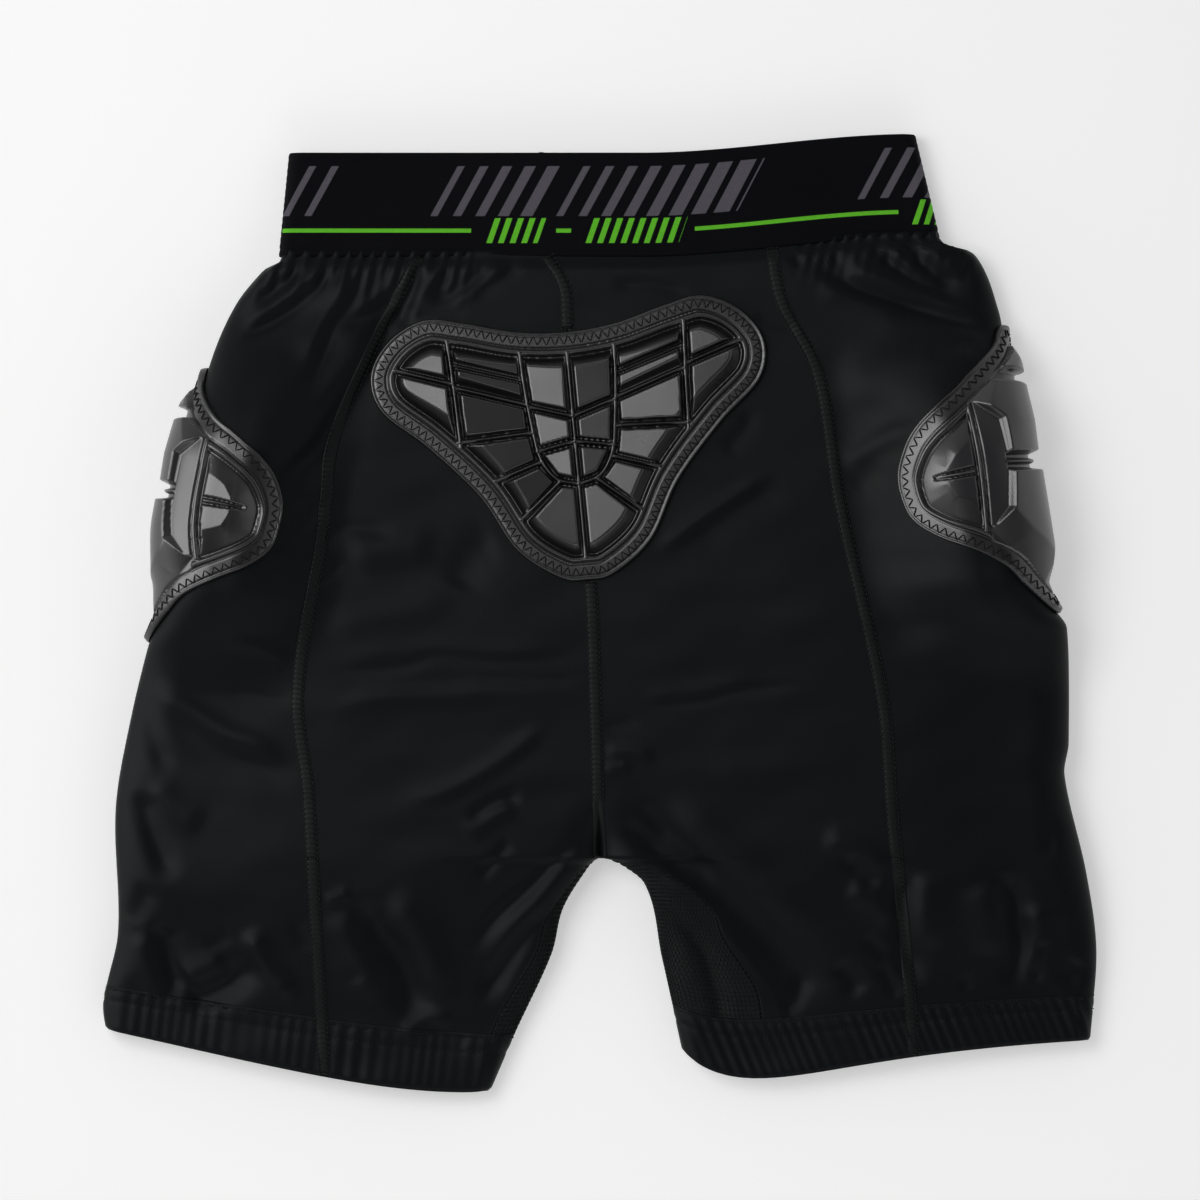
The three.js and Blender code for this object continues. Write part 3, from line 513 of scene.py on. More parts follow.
def mathNode(tree, operation, a, b=0.0, c=0.0, clamp=False):
    node = tree.nodes.new("ShaderNodeMath")
    node.operation = operation
    node.use_clamp = clamp
    for socket, source in zip(node.inputs, (a, b, c)):
        if isinstance(source, bpy.types.NodeSocket):
            tree.links.new(source, socket)
        else:
            socket.default_value = source
    return node.outputs[0]


def nodeTree(name, kind, sockets):
    tree = bpy.data.node_groups.new(name, kind)
    for direction, socketType, label, value in sockets:
        made = tree.interface.new_socket(label, in_out=direction, socket_type=socketType)
        if value is not None:
            made.default_value = value
    start = tree.nodes.new("NodeGroupInput")
    end = tree.nodes.new("NodeGroupOutput")
    return tree, start.outputs, end


def runTree(piece, tree, values):
    # turns the piece into the plain mesh that the tree makes of it
    nodes = piece.modifiers.new("nodes", "NODES")
    nodes.node_group = tree
    for item in tree.interface.items_tree:
        if item.item_type == "SOCKET" and item.in_out == "INPUT" and item.name in values:
            nodes[item.identifier] = values[item.name]
    seen = piece.evaluated_get(bpy.context.evaluated_depsgraph_get())
    made = bpy.data.meshes.new_from_object(seen)
    piece.modifiers.clear()
    piece.data = made
    return piece


def stitchTree():
    # lays one small thread after another along a path; "up" is the surface's direction at each point
    tree, start, end = nodeTree("stitchRow", "GeometryNodeTree", [
        ("INPUT", "NodeSocketGeometry", "Path", None),
        ("OUTPUT", "NodeSocketGeometry", "Stitches", None),
        ("INPUT", "NodeSocketFloat", "Pitch", 0.002),
        ("INPUT", "NodeSocketFloat", "Length", 0.002),
        ("INPUT", "NodeSocketFloat", "Thickness", 0.0006),
        ("INPUT", "NodeSocketFloat", "Angle", 0.0),
        ("INPUT", "NodeSocketFloat", "Alternate", 0.0),
        ("INPUT", "NodeSocketFloat", "Across", 0.0),
        ("INPUT", "NodeSocketFloat", "Lift", 0.0),
        ("INPUT", "NodeSocketMaterial", "Material", None),
    ])
    curve = addNode(tree, "GeometryNodeMeshToCurve", {"Mesh": start["Path"]})
    even = addNode(tree, "GeometryNodeResampleCurve",
                   {"Curve": curve.outputs[0], "Length": start["Pitch"]}, mode="LENGTH")
    up = addNode(tree, "GeometryNodeInputNamedAttribute", {"Name": "up"}, data_type="FLOAT_VECTOR")
    along = addNode(tree, "GeometryNodeInputTangent")
    aside = addNode(tree, "ShaderNodeVectorMath", {0: up.outputs[0], 1: along.outputs[0]},
                    operation="CROSS_PRODUCT")
    across = addNode(tree, "ShaderNodeVectorMath",
                     {0: aside.outputs[0], "Scale": start["Across"]}, operation="SCALE")
    lift = addNode(tree, "ShaderNodeVectorMath",
                   {0: up.outputs[0], "Scale": start["Lift"]}, operation="SCALE")
    offset = addNode(tree, "ShaderNodeVectorMath", {0: across.outputs[0], 1: lift.outputs[0]},
                     operation="ADD")
    index = addNode(tree, "GeometryNodeInputIndex")
    odd = mathNode(tree, "MODULO", index.outputs[0], 2.0)
    swing = mathNode(tree, "MULTIPLY_ADD", odd, -2.0, 1.0)
    angle = mathNode(tree, "MULTIPLY_ADD", swing, start["Alternate"], start["Angle"])
    turn = addNode(tree, "ShaderNodeCombineXYZ", {"Z": angle})
    lying = addNode(tree, "FunctionNodeAxesToRotation",
                    {"Primary Axis": up.outputs[0], "Secondary Axis": along.outputs[0]},
                    primary_axis="Z", secondary_axis="X")
    turnAngle = addNode(tree, "FunctionNodeEulerToRotation", {0: turn.outputs[0]})
    turned = addNode(tree, "FunctionNodeRotateRotation",
                     {0: lying.outputs[0], 1: turnAngle.outputs[0]}, rotation_space="LOCAL")
    moved = addNode(tree, "GeometryNodeSetPosition",
                    {"Geometry": even.outputs[0], "Offset": offset.outputs[0]})
    bead = addNode(tree, "GeometryNodeMeshUVSphere", {"Segments": 8, "Rings": 5, "Radius": 0.5})
    size = addNode(tree, "ShaderNodeCombineXYZ",
                   {"X": start["Length"], "Y": start["Thickness"],
                    "Z": mathNode(tree, "MULTIPLY", start["Thickness"], 0.8)})
    # the turns are read before the points move, so the tangent is the path's own
    stored = addNode(tree, "GeometryNodeStoreNamedAttribute",
                     {"Geometry": even.outputs[0], "Name": "turned", "Value": turned.outputs[0]},
                     data_type="QUATERNION", domain="POINT")
    tree.links.new(stored.outputs[0], moved.inputs["Geometry"])
    readTurn = addNode(tree, "GeometryNodeInputNamedAttribute", {"Name": "turned"},
                       data_type="QUATERNION")
    laid = addNode(tree, "GeometryNodeInstanceOnPoints",
                   {"Points": moved.outputs[0], "Instance": bead.outputs[0],
                    "Rotation": readTurn.outputs[0], "Scale": size.outputs[0]})
    real = addNode(tree, "GeometryNodeRealizeInstances", {"Geometry": laid.outputs[0]})
    rounded = addNode(tree, "GeometryNodeSetShadeSmooth", {0: real.outputs[0]})
    finished = addNode(tree, "GeometryNodeSetMaterial",
                       {"Geometry": rounded.outputs[0], "Material": start["Material"]})
    tree.links.new(finished.outputs[0], end.inputs["Stitches"])
    return tree


def loopTree():
    # stands one small knitted ring on every vertex of a surface
    tree, start, end = nodeTree("knitLoops", "GeometryNodeTree", [
        ("INPUT", "NodeSocketGeometry", "Cloth", None),
        ("OUTPUT", "NodeSocketGeometry", "Loops", None),
        ("INPUT", "NodeSocketFloat", "Ring", 0.001),
        ("INPUT", "NodeSocketFloat", "Yarn", 0.0003),
        ("INPUT", "NodeSocketMaterial", "Material", None),
    ])
    normal = addNode(tree, "GeometryNodeInputNormal")
    lying = addNode(tree, "FunctionNodeAlignRotationToVector", {"Vector": normal.outputs[0]},
                    axis="Z")
    ring = addNode(tree, "GeometryNodeCurvePrimitiveCircle",
                   {"Resolution": 8, "Radius": start["Ring"]})
    yarn = addNode(tree, "GeometryNodeCurvePrimitiveCircle",
                   {"Resolution": 4, "Radius": start["Yarn"]})
    tube = addNode(tree, "GeometryNodeCurveToMesh",
                   {"Curve": ring.outputs[0], "Profile Curve": yarn.outputs[0]})
    stand = addNode(tree, "GeometryNodeInstanceOnPoints",
                    {"Points": start["Cloth"], "Instance": tube.outputs[0],
                     "Rotation": lying.outputs[0]})
    real = addNode(tree, "GeometryNodeRealizeInstances", {"Geometry": stand.outputs[0]})
    rounded = addNode(tree, "GeometryNodeSetShadeSmooth", {0: real.outputs[0]})
    finished = addNode(tree, "GeometryNodeSetMaterial",
                       {"Geometry": rounded.outputs[0], "Material": start["Material"]})
    tree.links.new(finished.outputs[0], end.inputs["Loops"])
    return tree


stitchRow = stitchTree()
knitLoops = loopTree()


def stitches(name, points, ups, look, closed=False):
    # points and ups in millimetres; look holds the row's sizes in millimetres and degrees
    mesh = bpy.data.meshes.new(name)
    count = len(points)
    edges = [(i, i + 1) for i in range(count - 1)] + ([(count - 1, 0)] if closed else [])
    mesh.from_pydata(((np.asarray(points) + shift) * 0.001).tolist(), edges, [])
    up = mesh.attributes.new("up", "FLOAT_VECTOR", "POINT")
    up.data.foreach_set("vector", np.asarray(ups, float).ravel())
    piece = bpy.data.objects.new(name, mesh)
    bpy.context.collection.objects.link(piece)
    runTree(piece, stitchRow, {
        "Pitch": look["pitch"] * 0.001, "Length": look["length"] * 0.001,
        "Thickness": look["thick"] * 0.001, "Angle": math.radians(look.get("angle", 0)),
        "Alternate": math.radians(look.get("alternate", 0)),
        "Across": look.get("across", 0) * 0.001, "Lift": look.get("lift", 0) * 0.001,
        "Material": look["material"],
    })
    for label in ("turned", "up"):
        if label in piece.data.attributes:
            piece.data.attributes.remove(piece.data.attributes[label])
    return piece


def newMaterial(name, color, roughness, **principled):
    material = bpy.data.materials.new(name)
    material.use_nodes = True
    tree = material.node_tree
    shader = tree.nodes["Principled BSDF"]
    shader.inputs["Base Color"].default_value = (*color, 1)
    shader.inputs["Roughness"].default_value = roughness
    for key, value in principled.items():
        shader.inputs[key.replace("_", " ")].default_value = value
    return material, tree, shader


def weaveGroup():
    # a fine two-way weave in clothMap units, with broad unevenness; puts out a height and a shade
    tree, start, end = nodeTree("weave", "ShaderNodeTree", [
        ("INPUT", "NodeSocketVector", "Place", None),
        ("INPUT", "NodeSocketFloat", "Warp", 1200.0),
        ("INPUT", "NodeSocketFloat", "Weft", 1200.0),
        ("INPUT", "NodeSocketFloat", "Slant", 0.0),
        ("OUTPUT", "NodeSocketFloat", "Height", None),
        ("OUTPUT", "NodeSocketFloat", "Shade", None),
    ])
    split = addNode(tree, "ShaderNodeSeparateXYZ", {0: start["Place"]})
    leaned = mathNode(tree, "MULTIPLY_ADD", split.outputs["Y"], start["Slant"], split.outputs["X"])
    warp = mathNode(tree, "SINE", mathNode(tree, "MULTIPLY", leaned, start["Warp"]))
    weft = mathNode(tree, "SINE", mathNode(tree, "MULTIPLY", split.outputs["Y"], start["Weft"]))
    both = mathNode(tree, "MULTIPLY", warp, weft)
    grain = addNode(tree, "ShaderNodeTexNoise",
                    {"Vector": start["Place"], "Scale": 900.0, "Detail": 2.0})
    broad = addNode(tree, "ShaderNodeTexNoise",
                    {"Vector": start["Place"], "Scale": 22.0, "Detail": 3.0})
    height = mathNode(tree, "MULTIPLY_ADD", both, 0.5, grain.outputs[0])
    shade = mathNode(tree, "MULTIPLY_ADD", broad.outputs[0], 0.6,
                     mathNode(tree, "MULTIPLY", grain.outputs[0], 0.5))
    tree.links.new(height, end.inputs["Height"])
    tree.links.new(shade, end.inputs["Shade"])
    return tree


weave = weaveGroup()


def clothMaterial(name, look):
    material, tree, shader = newMaterial(
        name, look["dark"], look["roughness"], Sheen_Weight=look["sheen"],
        Sheen_Roughness=look["sheenRoughness"], Specular_IOR_Level=look["gloss"])
    shader.inputs["Sheen Tint"].default_value = (*look["sheenTint"], 1)
    place = addNode(tree, "ShaderNodeTexCoord")
    woven = addNode(tree, "ShaderNodeGroup", {}, node_tree=weave)
    tree.links.new(place.outputs["Object"], woven.inputs["Place"])
    woven.inputs["Warp"].default_value = look["warp"]
    woven.inputs["Weft"].default_value = look["weft"]
    woven.inputs["Slant"].default_value = look["slant"]
    shades = addNode(tree, "ShaderNodeMix", {0: woven.outputs["Shade"]}, data_type="RGBA")
    shades.inputs["A"].default_value = (*look["dark"], 1)
    shades.inputs["B"].default_value = (*look["light"], 1)
    tree.links.new(shades.outputs["Result"], shader.inputs["Base Color"])
    bump = addNode(tree, "ShaderNodeBump", {"Height": woven.outputs["Height"],
                                           "Strength": look["bump"], "Distance": 0.0003})
    tree.links.new(bump.outputs[0], shader.inputs["Normal"])
    return material


spandexLook = {
    "dark": (0.0018, 0.0025, 0.0030), "light": (0.0040, 0.0053, 0.0064), "roughness": 0.47,
    "gloss": 0.115, "sheen": 0.006, "sheenRoughness": 0.35, "sheenTint": (0.75, 0.85, 0.9),
    "warp": 9000.0, "weft": 7000.0, "slant": 0.2, "bump": 0.25,
}
elasticLook = dict(spandexLook, dark=(0.0018, 0.0019, 0.0027), light=(0.005, 0.0052, 0.0068),
                   roughness=0.7, gloss=0.02, sheen=0.0, warp=5200.0, weft=5200.0, slant=0.0, bump=0.5)
knitLook = dict(spandexLook, roughness=0.55, gloss=0.2, bump=0.4)
liningLook = dict(spandexLook, dark=(0.012, 0.012, 0.014), light=(0.026, 0.026, 0.03),
                  roughness=0.85, gloss=0.2, warp=3500.0, weft=3500.0)
spandex = clothMaterial("spandex", spandexLook)
elasticCloth = clothMaterial("elastic", elasticLook)
knit = clothMaterial("mesh", knitLook)
liningCloth = clothMaterial("lining", liningLook)
thread = newMaterial("thread", (0.0020, 0.0026, 0.0032), 0.55, Specular_IOR_Level=0.2)[0]

# the foam is one dark colour; the "shade" attribute paints each face between dark and light: painted
# shade in the hollows and on the walls, painted highlight on the lit tops
padLook = {"dark": (0.0055, 0.0054, 0.006), "light": (0.021, 0.0202, 0.0228), "roughness": 0.34,
           "grain": 0.07, "gloss": 0.9, "smooth": 0.22, "rough": 0.36}


def padMaterial():
    material, tree, shader = newMaterial("padFoam", padLook["dark"], padLook["roughness"],
                                         Specular_IOR_Level=padLook["gloss"])
    place = addNode(tree, "ShaderNodeTexCoord")
    broad = addNode(tree, "ShaderNodeTexNoise", {"Scale": 35.0, "Detail": 4.0})
    grain = addNode(tree, "ShaderNodeTexNoise", {"Scale": 1600.0, "Detail": 2.0})
    for noise in (broad, grain):
        tree.links.new(place.outputs["Object"], noise.inputs["Vector"])
    # painted light and shade from the "shade" attribute, not a second colour of foam
    paintedLightTone = addNode(tree, "ShaderNodeVertexColor", layer_name="shade")
    base = addNode(tree, "ShaderNodeMix", {0: paintedLightTone.outputs["Color"]}, data_type="RGBA")
    base.inputs["A"].default_value = (*padLook["dark"], 1)
    base.inputs["B"].default_value = (*padLook["light"], 1)
    tree.links.new(base.outputs["Result"], shader.inputs["Base Color"])
    rough = addNode(tree, "ShaderNodeMapRange", {"Value": broad.outputs[0], "To Min": padLook["smooth"],
                                                "To Max": padLook["rough"]})
    tree.links.new(rough.outputs[0], shader.inputs["Roughness"])
    bump = addNode(tree, "ShaderNodeBump", {"Height": grain.outputs[0],
                                           "Strength": padLook["grain"], "Distance": 0.0003})
    tree.links.new(bump.outputs[0], shader.inputs["Normal"])
    return material


padFoam = padMaterial()
print("materials ready")


seamLine = {"left": lineAt["leftBack"], "right": lineAt["rightBack"]}


def backSeamX(name, s):
    return seamLine[name](s["yAt"](seamLine[name](s["yAt"](0.0))))


def frontSeamX(name, s):
    return (-1 if name == "left" else 1) * frontSeamAt(s["yAt"](0.0))


def gussetWidth(widths, v):
    return alongLine(widths, v) * smooth(-0.02, 0.1, v) ** 0.5


def rowsFor(top, bottom, length, step):
    return np.linspace(top, bottom, max(int(round(length / step)), 2) + 1)


torsoTop = -3.0 / (cut["bandBottom"] - cut["crotchY"])
torsoLength = cut["bandBottom"] - cut["crotchY"] + 3


def panelGrid(name, kind, step):
    # the torso part and the leg part of one panel, from the band down to the hem
    inner = "right" if name == "left" else "left"
    section = legSection(name)
    tv = rowsFor(torsoTop, 1, torsoLength, cut["grid"])[:, None]
    lv = rowsFor(0, cut["hemStart"], 70, cut["grid"])[1:, None]
    torso, leg = torsoSection(tv), section(lv)
    centre = lineAt["centre"](torso["yAt"](0.0))
    back = [qOf(torso, name, backSeamX(name, torso)), qOf(leg, name, backSeamX(name, leg))]
    front = [-qOf(torso, name, frontSeamX(name, torso)), -qOf(leg, name, frontSeamX(name, leg))]
    if kind == "side":
        spans = [(name, back[0], front[0]), (name, back[1], front[1])]
    elif kind == "back":
        spans = [(name, qOf(torso, name, centre), back[0]),
                 (inner, gussetWidth(legs[name]["backGusset"], lv),
                  qOf(leg, inner, backSeamX(name, leg)))]
    else:
        spans = [(name, front[0], -qOf(torso, name, 0 * tv)),
                 (inner, -qOf(leg, inner, frontSeamX(name, leg)), -gussetWidth(frontGusset, lv))]
    width = float(np.abs(spans[0][1] - spans[0][2]).max())
    cols = np.linspace(0, 1, int(width / step) + 1)[None, :]
    parts, normals = [], []
    for (side, a, b), sectionAt, v in zip(spans, (torsoSection, section), (tv, lv)):
        q = a + (b - a) * cols
        parts.append(clothAt(sectionAt, v, side, q, relief=kind != "front"))
        normals.append(clothNormal(sectionAt, v, side, q))
    return np.vstack(parts), np.vstack(normals), width


bend = {"start": (0, frame["joints"][0]["pos_m"][1], 0.027), "reach": 0.024}


def bendWith(piece):
    x, y, z = bend["start"]
    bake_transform(piece)


def panel(name, kind, step, nodes):
    points, normals, width = panelGrid(name, kind, step)
    piece = gridPiece(f"{kind}_panel_{name}", points, spandex, outward=normals)
    thicken(piece, cut["clothThick"])
    bendWith(piece)
    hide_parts(*nodes)
    return piece


for name in ("left", "right"):
    panel(name, "back", cut["grid"], [f"seat_panel_{name}", f"{name}_leg_back_panel"])
    panel(name, "side", cut["grid"], [f"hip_panel_{name}", f"{name}_leg_side_panel"])
    panel(name, "front", 3.4, [f"front_panel_{name}", f"{name}_leg_front_panel"])
print("cloth panels ready")


seamLook = {"width": 5.6, "dome": 0.42, "base": 0.12, "step": 1.4}
ladder = {"pitch": 2.4, "length": 4.4, "thick": 0.8, "angle": 82, "lift": 0.55, "material": thread}
needleRow = {"pitch": 2.4, "length": 1.9, "thick": 0.7, "across": 2.7, "lift": 0.55,
             "material": thread}


def seam(name, sectionAt, side, span, qAt, length, look=seamLook, rows=(ladder, needleRow),
         inside=False):
    v = rowsFor(*span, length, look["step"])[:, None]
    across = np.linspace(-1, 1, 9)[None, :]
    q = qAt(v) + across * look["width"] / 2
    dome = look["base"] + look["dome"] * (1 - across ** 2) ** 0.5
    if inside:
        dome = -cut["clothThick"] - dome
    points = clothAt(sectionAt, v, side, q, dome, relief=not inside)
    normals = clothNormal(sectionAt, v, side, q) * (-1 if inside else 1)
    strip = gridPiece(name, points, thread, outward=normals)
    thicken(strip, 0.3)
    fine = rowsFor(*span, length, 1.0)[:, None]
    ups = clothNormal(sectionAt, fine, side, qAt(fine))[:, 0] * (-1 if inside else 1)
    base = -cut["clothThick"] if inside else 0.0
    path = clothAt(sectionAt, fine, side, qAt(fine), base, relief=not inside)[:, 0]
    added = []
    for row in rows:
        for sign in ((-1, 1) if row.get("across") else (1,)):
            laid = dict(row, across=row.get("across", 0) * sign)
            added.append(stitches(name + "_row", path, ups, laid))
    bpy.context.view_layer.update()
    seen = strip.evaluated_get(bpy.context.evaluated_depsgraph_get())
    strip.data = bpy.data.meshes.new_from_object(seen)
    strip.modifiers.clear()
    joinPieces(strip, *added)
    return strip


def seamPiece(node, body, *args, **kwargs):
    piece = seam(node, *args, **kwargs)
    if body == "hips":
        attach(piece, "hips")
    else:
        bendWith(piece)
    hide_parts(node)
    return piece


def torsoV(y):
    return (cut["bandBottom"] - y) / (cut["bandBottom"] - cut["crotchY"])


def seamQ(sectionAt, name, xAt, sign=1):
    # the distance round from the side fold at which a seam runs, less than 0 on the front
    def at(v):
        s = sectionAt(v)
        return sign * qOf(s, name, xAt(name, s))
    return at


def centreX(name, s):
    return lineAt["centre"](s["yAt"](0.0))


def frontCentreX(name, s):
    return 0 * s["y"]


# where each seam runs along its section, from 0 to 1, and its length
seamRun = {
    "torso": ((0.0, 1.0), 289), "leg": ((0.004, 0.985), 95),
    "frontTorso": ((0.03, 1.0), 280), "frontLeg": ((0.004, cut["hemStart"]), 70),
    "overPad": ((0.0, torsoV(139)), 34), "underPad": ((torsoV(17), 1.0), 133),
}


def backSeam(node, body, sectionAt, side, xAt, run):
    span, length = seamRun[run]
    seamPiece(node, body, sectionAt, side, span, seamQ(sectionAt, side, xAt), length)


def frontSeamPiece(node, body, sectionAt, side, xAt, run):
    span, length = seamRun[run]
    seamPiece(node, body, sectionAt, side, span, seamQ(sectionAt, side, xAt, -1), length,
              rows=(), inside=True)


for name in ("left", "right"):
    leg = legSection(name)
    backSeam(f"back_seam_{name}", "hips", torsoSection, name, backSeamX, "torso")
    backSeam(f"{name}_leg_back_seam", name, leg, name, backSeamX, "leg")
    frontSeamPiece(f"front_seam_{name}", "hips", torsoSection, name, frontSeamX, "frontTorso")
    frontSeamPiece(f"{name}_leg_front_seam", name, leg, name, frontSeamX, "frontLeg")
backSeam("centre_seam_upper", "hips", torsoSection, "left", centreX, "overPad")
backSeam("centre_seam_lower", "hips", torsoSection, "left", centreX, "underPad")
frontSeamPiece("centre_seam_front", "hips", torsoSection, "left", frontCentreX, "frontTorso")
print("seams ready")


gussetLook = {"step": 2.0, "ring": 1.15, "yarn": 0.28, "flatLength": 0.09}
slackFolds = {
    "left": [],
    "right": [([(34, -121), (62, -136), (80, -160), (86, -190)], 4.2, 4.5),
              ([(30, -140), (48, -158), (56, -180), (60, -200)], -3.4, 4.5)],
}


def gussetCloth(name, step):
    inner = "right" if name == "left" else "left"
    section = legSection(name)
    v = rowsFor(0.0, cut["hemStart"] + 0.01, 80, step)[:, None]
    a, b = gussetWidth(legs[name]["backGusset"], v) - 0.2, -gussetWidth(frontGusset, v) + 0.2
    width = float((a - b).max())
    cols = np.linspace(0, 1, int(width / step) + 1)[None, :]
    q = a + (b - a) * cols
    points = clothAt(section, v, inner, q, -0.35)
    normals = clothNormal(section, v, inner, q)
    for path, height, half in [(smoothPath(p, 4), h, w) for p, h, w in slackFolds[name]]:
        d, along = toPath(points[..., 0], points[..., 1], path)
        taper = smooth(0, 0.25, along) * smooth(1, 0.75, along) * smooth(2, 12, q)
        points = points + normals * (height * taper * np.exp(-(d / half) ** 2))[..., None]
    return points, normals, width


def thighMesh(name):
    points, normals, width = gussetCloth(name, 1.8)
    piece = gridPiece(f"{name}_thigh_mesh", points, knit, outward=normals)
    thicken(piece, 0.5)
    points, normals, _ = gussetCloth(name, gussetLook["step"])
    loops = gridPiece(f"{name}_thigh_loops", points + normals * 0.15, knit, outward=normals)
    runTree(loops, knitLoops, {"Ring": gussetLook["ring"] * 0.001,
                               "Yarn": gussetLook["yarn"] * 0.001, "Material": knit})
    for made in (piece, loops):
        bendWith(made)
    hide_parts(f"{name}_thigh_mesh")


hemLook = {
    "left": {"gather": 0.4, "slant": 0.12, "pitch": 6.4},
    "right": {"gather": 0.62, "slant": -0.42, "pitch": 5.2},
    "over": 0.3,             # the turned-up hem lies this much over the leg
    "legLength": 100.0,      # of the back, from the crotch's line to the hem's edge
    "flatHeight": 0.026, "elasticFlatHeight": 0.0155,   # in metres
    "rows": (17.0, 23.0),    # heights of its two lines of stitching over the edge
}
hemNeedle = {"pitch": 1.9, "length": 1.5, "thick": 0.6, "lift": 0.12, "material": thread}


def roundStops(s, step):
    # (side, q) stops that go once round a section
    half = float((s["right"] - s["left"]) / 2)
    reach = float(foldLength(s)) + half - float(s["fold"])
    q = np.linspace(0, reach, int(reach / step) + 1)
    sides = ["left"] * len(q) + ["right"] * (len(q) - 1) + ["right"] * (len(q) - 1) + \
        ["left"] * (len(q) - 2)
    share = np.concatenate([q, q[::-1][1:], -q[1:], -q[::-1][1:-1]]) / reach
    return np.array(sides), share


def ringPoints(sectionAt, v, sides, share, out, relief=True):
    # out may be an array with one column for each stop
    s = sectionAt(v)
    reach = foldLength(s) + (s["right"] - s["left"]) / 2 - s["fold"]
    q = share[None, :] * reach
    points = np.empty((len(v), len(share), 3))
    normals = np.empty_like(points)
    out = np.broadcast_to(out, q.shape)
    for side in ("left", "right"):
        here = sides == side
        points[:, here] = clothAt(sectionAt, v, side, q[:, here], out[:, here], relief=relief)
        normals[:, here] = clothNormal(sectionAt, v, side, q[:, here])
    return points, normals


def hemGather(name, points):
    look = hemLook[name]
    x = points[..., 0] - look["slant"] * points[..., 1]
    drift = 1.9 * np.sin(x / 9.7) + 1.3 * np.sin(x / 23.0 + 2)
    wave = np.sin(2 * math.pi * x / look["pitch"] + drift)
    uneven = 0.58 + 0.42 * np.sin(x / 7.9 + 1.0) * np.sin(x / 19.0)
    return wave * uneven * look["gather"]


def hemV(height):
    # where along the leg a line at this height over the hem's edge runs
    return 1 - height / hemLook["legLength"]


def hemBand(name):
    section = legSection(name)
    start = hemV(24.5)
    v = np.concatenate([rowsFor(start, 0.975, 22, 1.3), [0.985, 0.993, 0.998, 1.0]])[:, None]
    sides, share = roundStops(section(np.array(0.9)), 1.5)
    flat, normals = ringPoints(section, v, sides, share, hemLook["over"])
    inEdge = smooth(0.0, 0.12, (v - start) / (1 - start))
    gather = hemGather(name, flat) * inEdge * smooth(0.02, 0.1, np.abs(share))[None, :]
    over = (1 - v) * hemLook["legLength"]
    needle = -0.35 * sum(np.exp(-(over - height) ** 2 / 1.2) for height in hemLook["rows"])
    tuck = -0.9 * smooth(0.975, 1.0, v) ** 2
    points = flat + normals * (gather + needle + tuck)[..., None]
    piece = gridPiece(f"{name}_hem_band", points, spandex, ring=True, outward=normals)
    thicken(piece, 1.0)
    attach(piece, name + "_leg")
    rows = []
    onBack = np.where(share > 0.0)[0]
    for height in hemLook["rows"]:
        at = np.array([[hemV(height)]])
        line, ups = ringPoints(section, at, sides, share, hemLook["over"])
        lift = (hemGather(name, line) - 0.3)[0][:, None]
        path = (line[0] + ups[0] * lift)[onBack]
        rows.append(stitches(f"{name}_hem_row", path, ups[0][onBack], hemNeedle))
    joined = joinPieces(*rows)
    joined.name = f"{name}_hem_stitches"
    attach(joined, name + "_leg")
    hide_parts(f"{name}_hem_band")


def hemElastic(name):
    section = legSection(name)
    v = rowsFor(hemV(20), hemV(5), 15, 1.5)[:, None]
    sides, share = roundStops(section(np.array(0.9)), 2.5)
    points, normals = ringPoints(section, v, sides, share, -2.2, relief=False)
    ribs = 0.12 * np.sin(v * 240)
    piece = gridPiece(f"{name}_hem_elastic", points + normals * ribs[..., None], elasticCloth,
                      ring=True, outward=normals)
    thicken(piece, 0.8)
    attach(piece, name + "_leg")
    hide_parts(f"{name}_hem_elastic")


for name in ("left", "right"):
    thighMesh(name)
    hemBand(name)
    hemElastic(name)
print("legs ready")


bandLook = {
    "ribPitch": 1.25, "ribHeight": 0.09,
    "grey": (0.115, 0.108, 0.128), "green": (0.15, 0.62, 0.035), "gloss": 0.04,
    # low edge, high edge, slant, spacing, share filled
    "greyBars": (19.5, 43.5, 0.55, 10.8, 0.3), "greenBars": (6.5, 18.5, 0.35, 5.6, 0.5),
    "greenLine": (11.5, 13.5, 0.0, 400.0, 1.0), "relief": 0.6,
}
# the woven pattern: slanted grey bars from x to x, and under them a green line and bars
greyMotifs = [(-153.0, -138.7), (-81.6, -29.8), (-21.1, 66.2), (123.8, 164.0)]
greenLines = [(-153.0, -62.0), (-21.1, -13.9), (45.6, 143.5)]
greenMotifs = [(-54.7, -30.0), (-7.0, 38.0), (150.0, 165.0)]


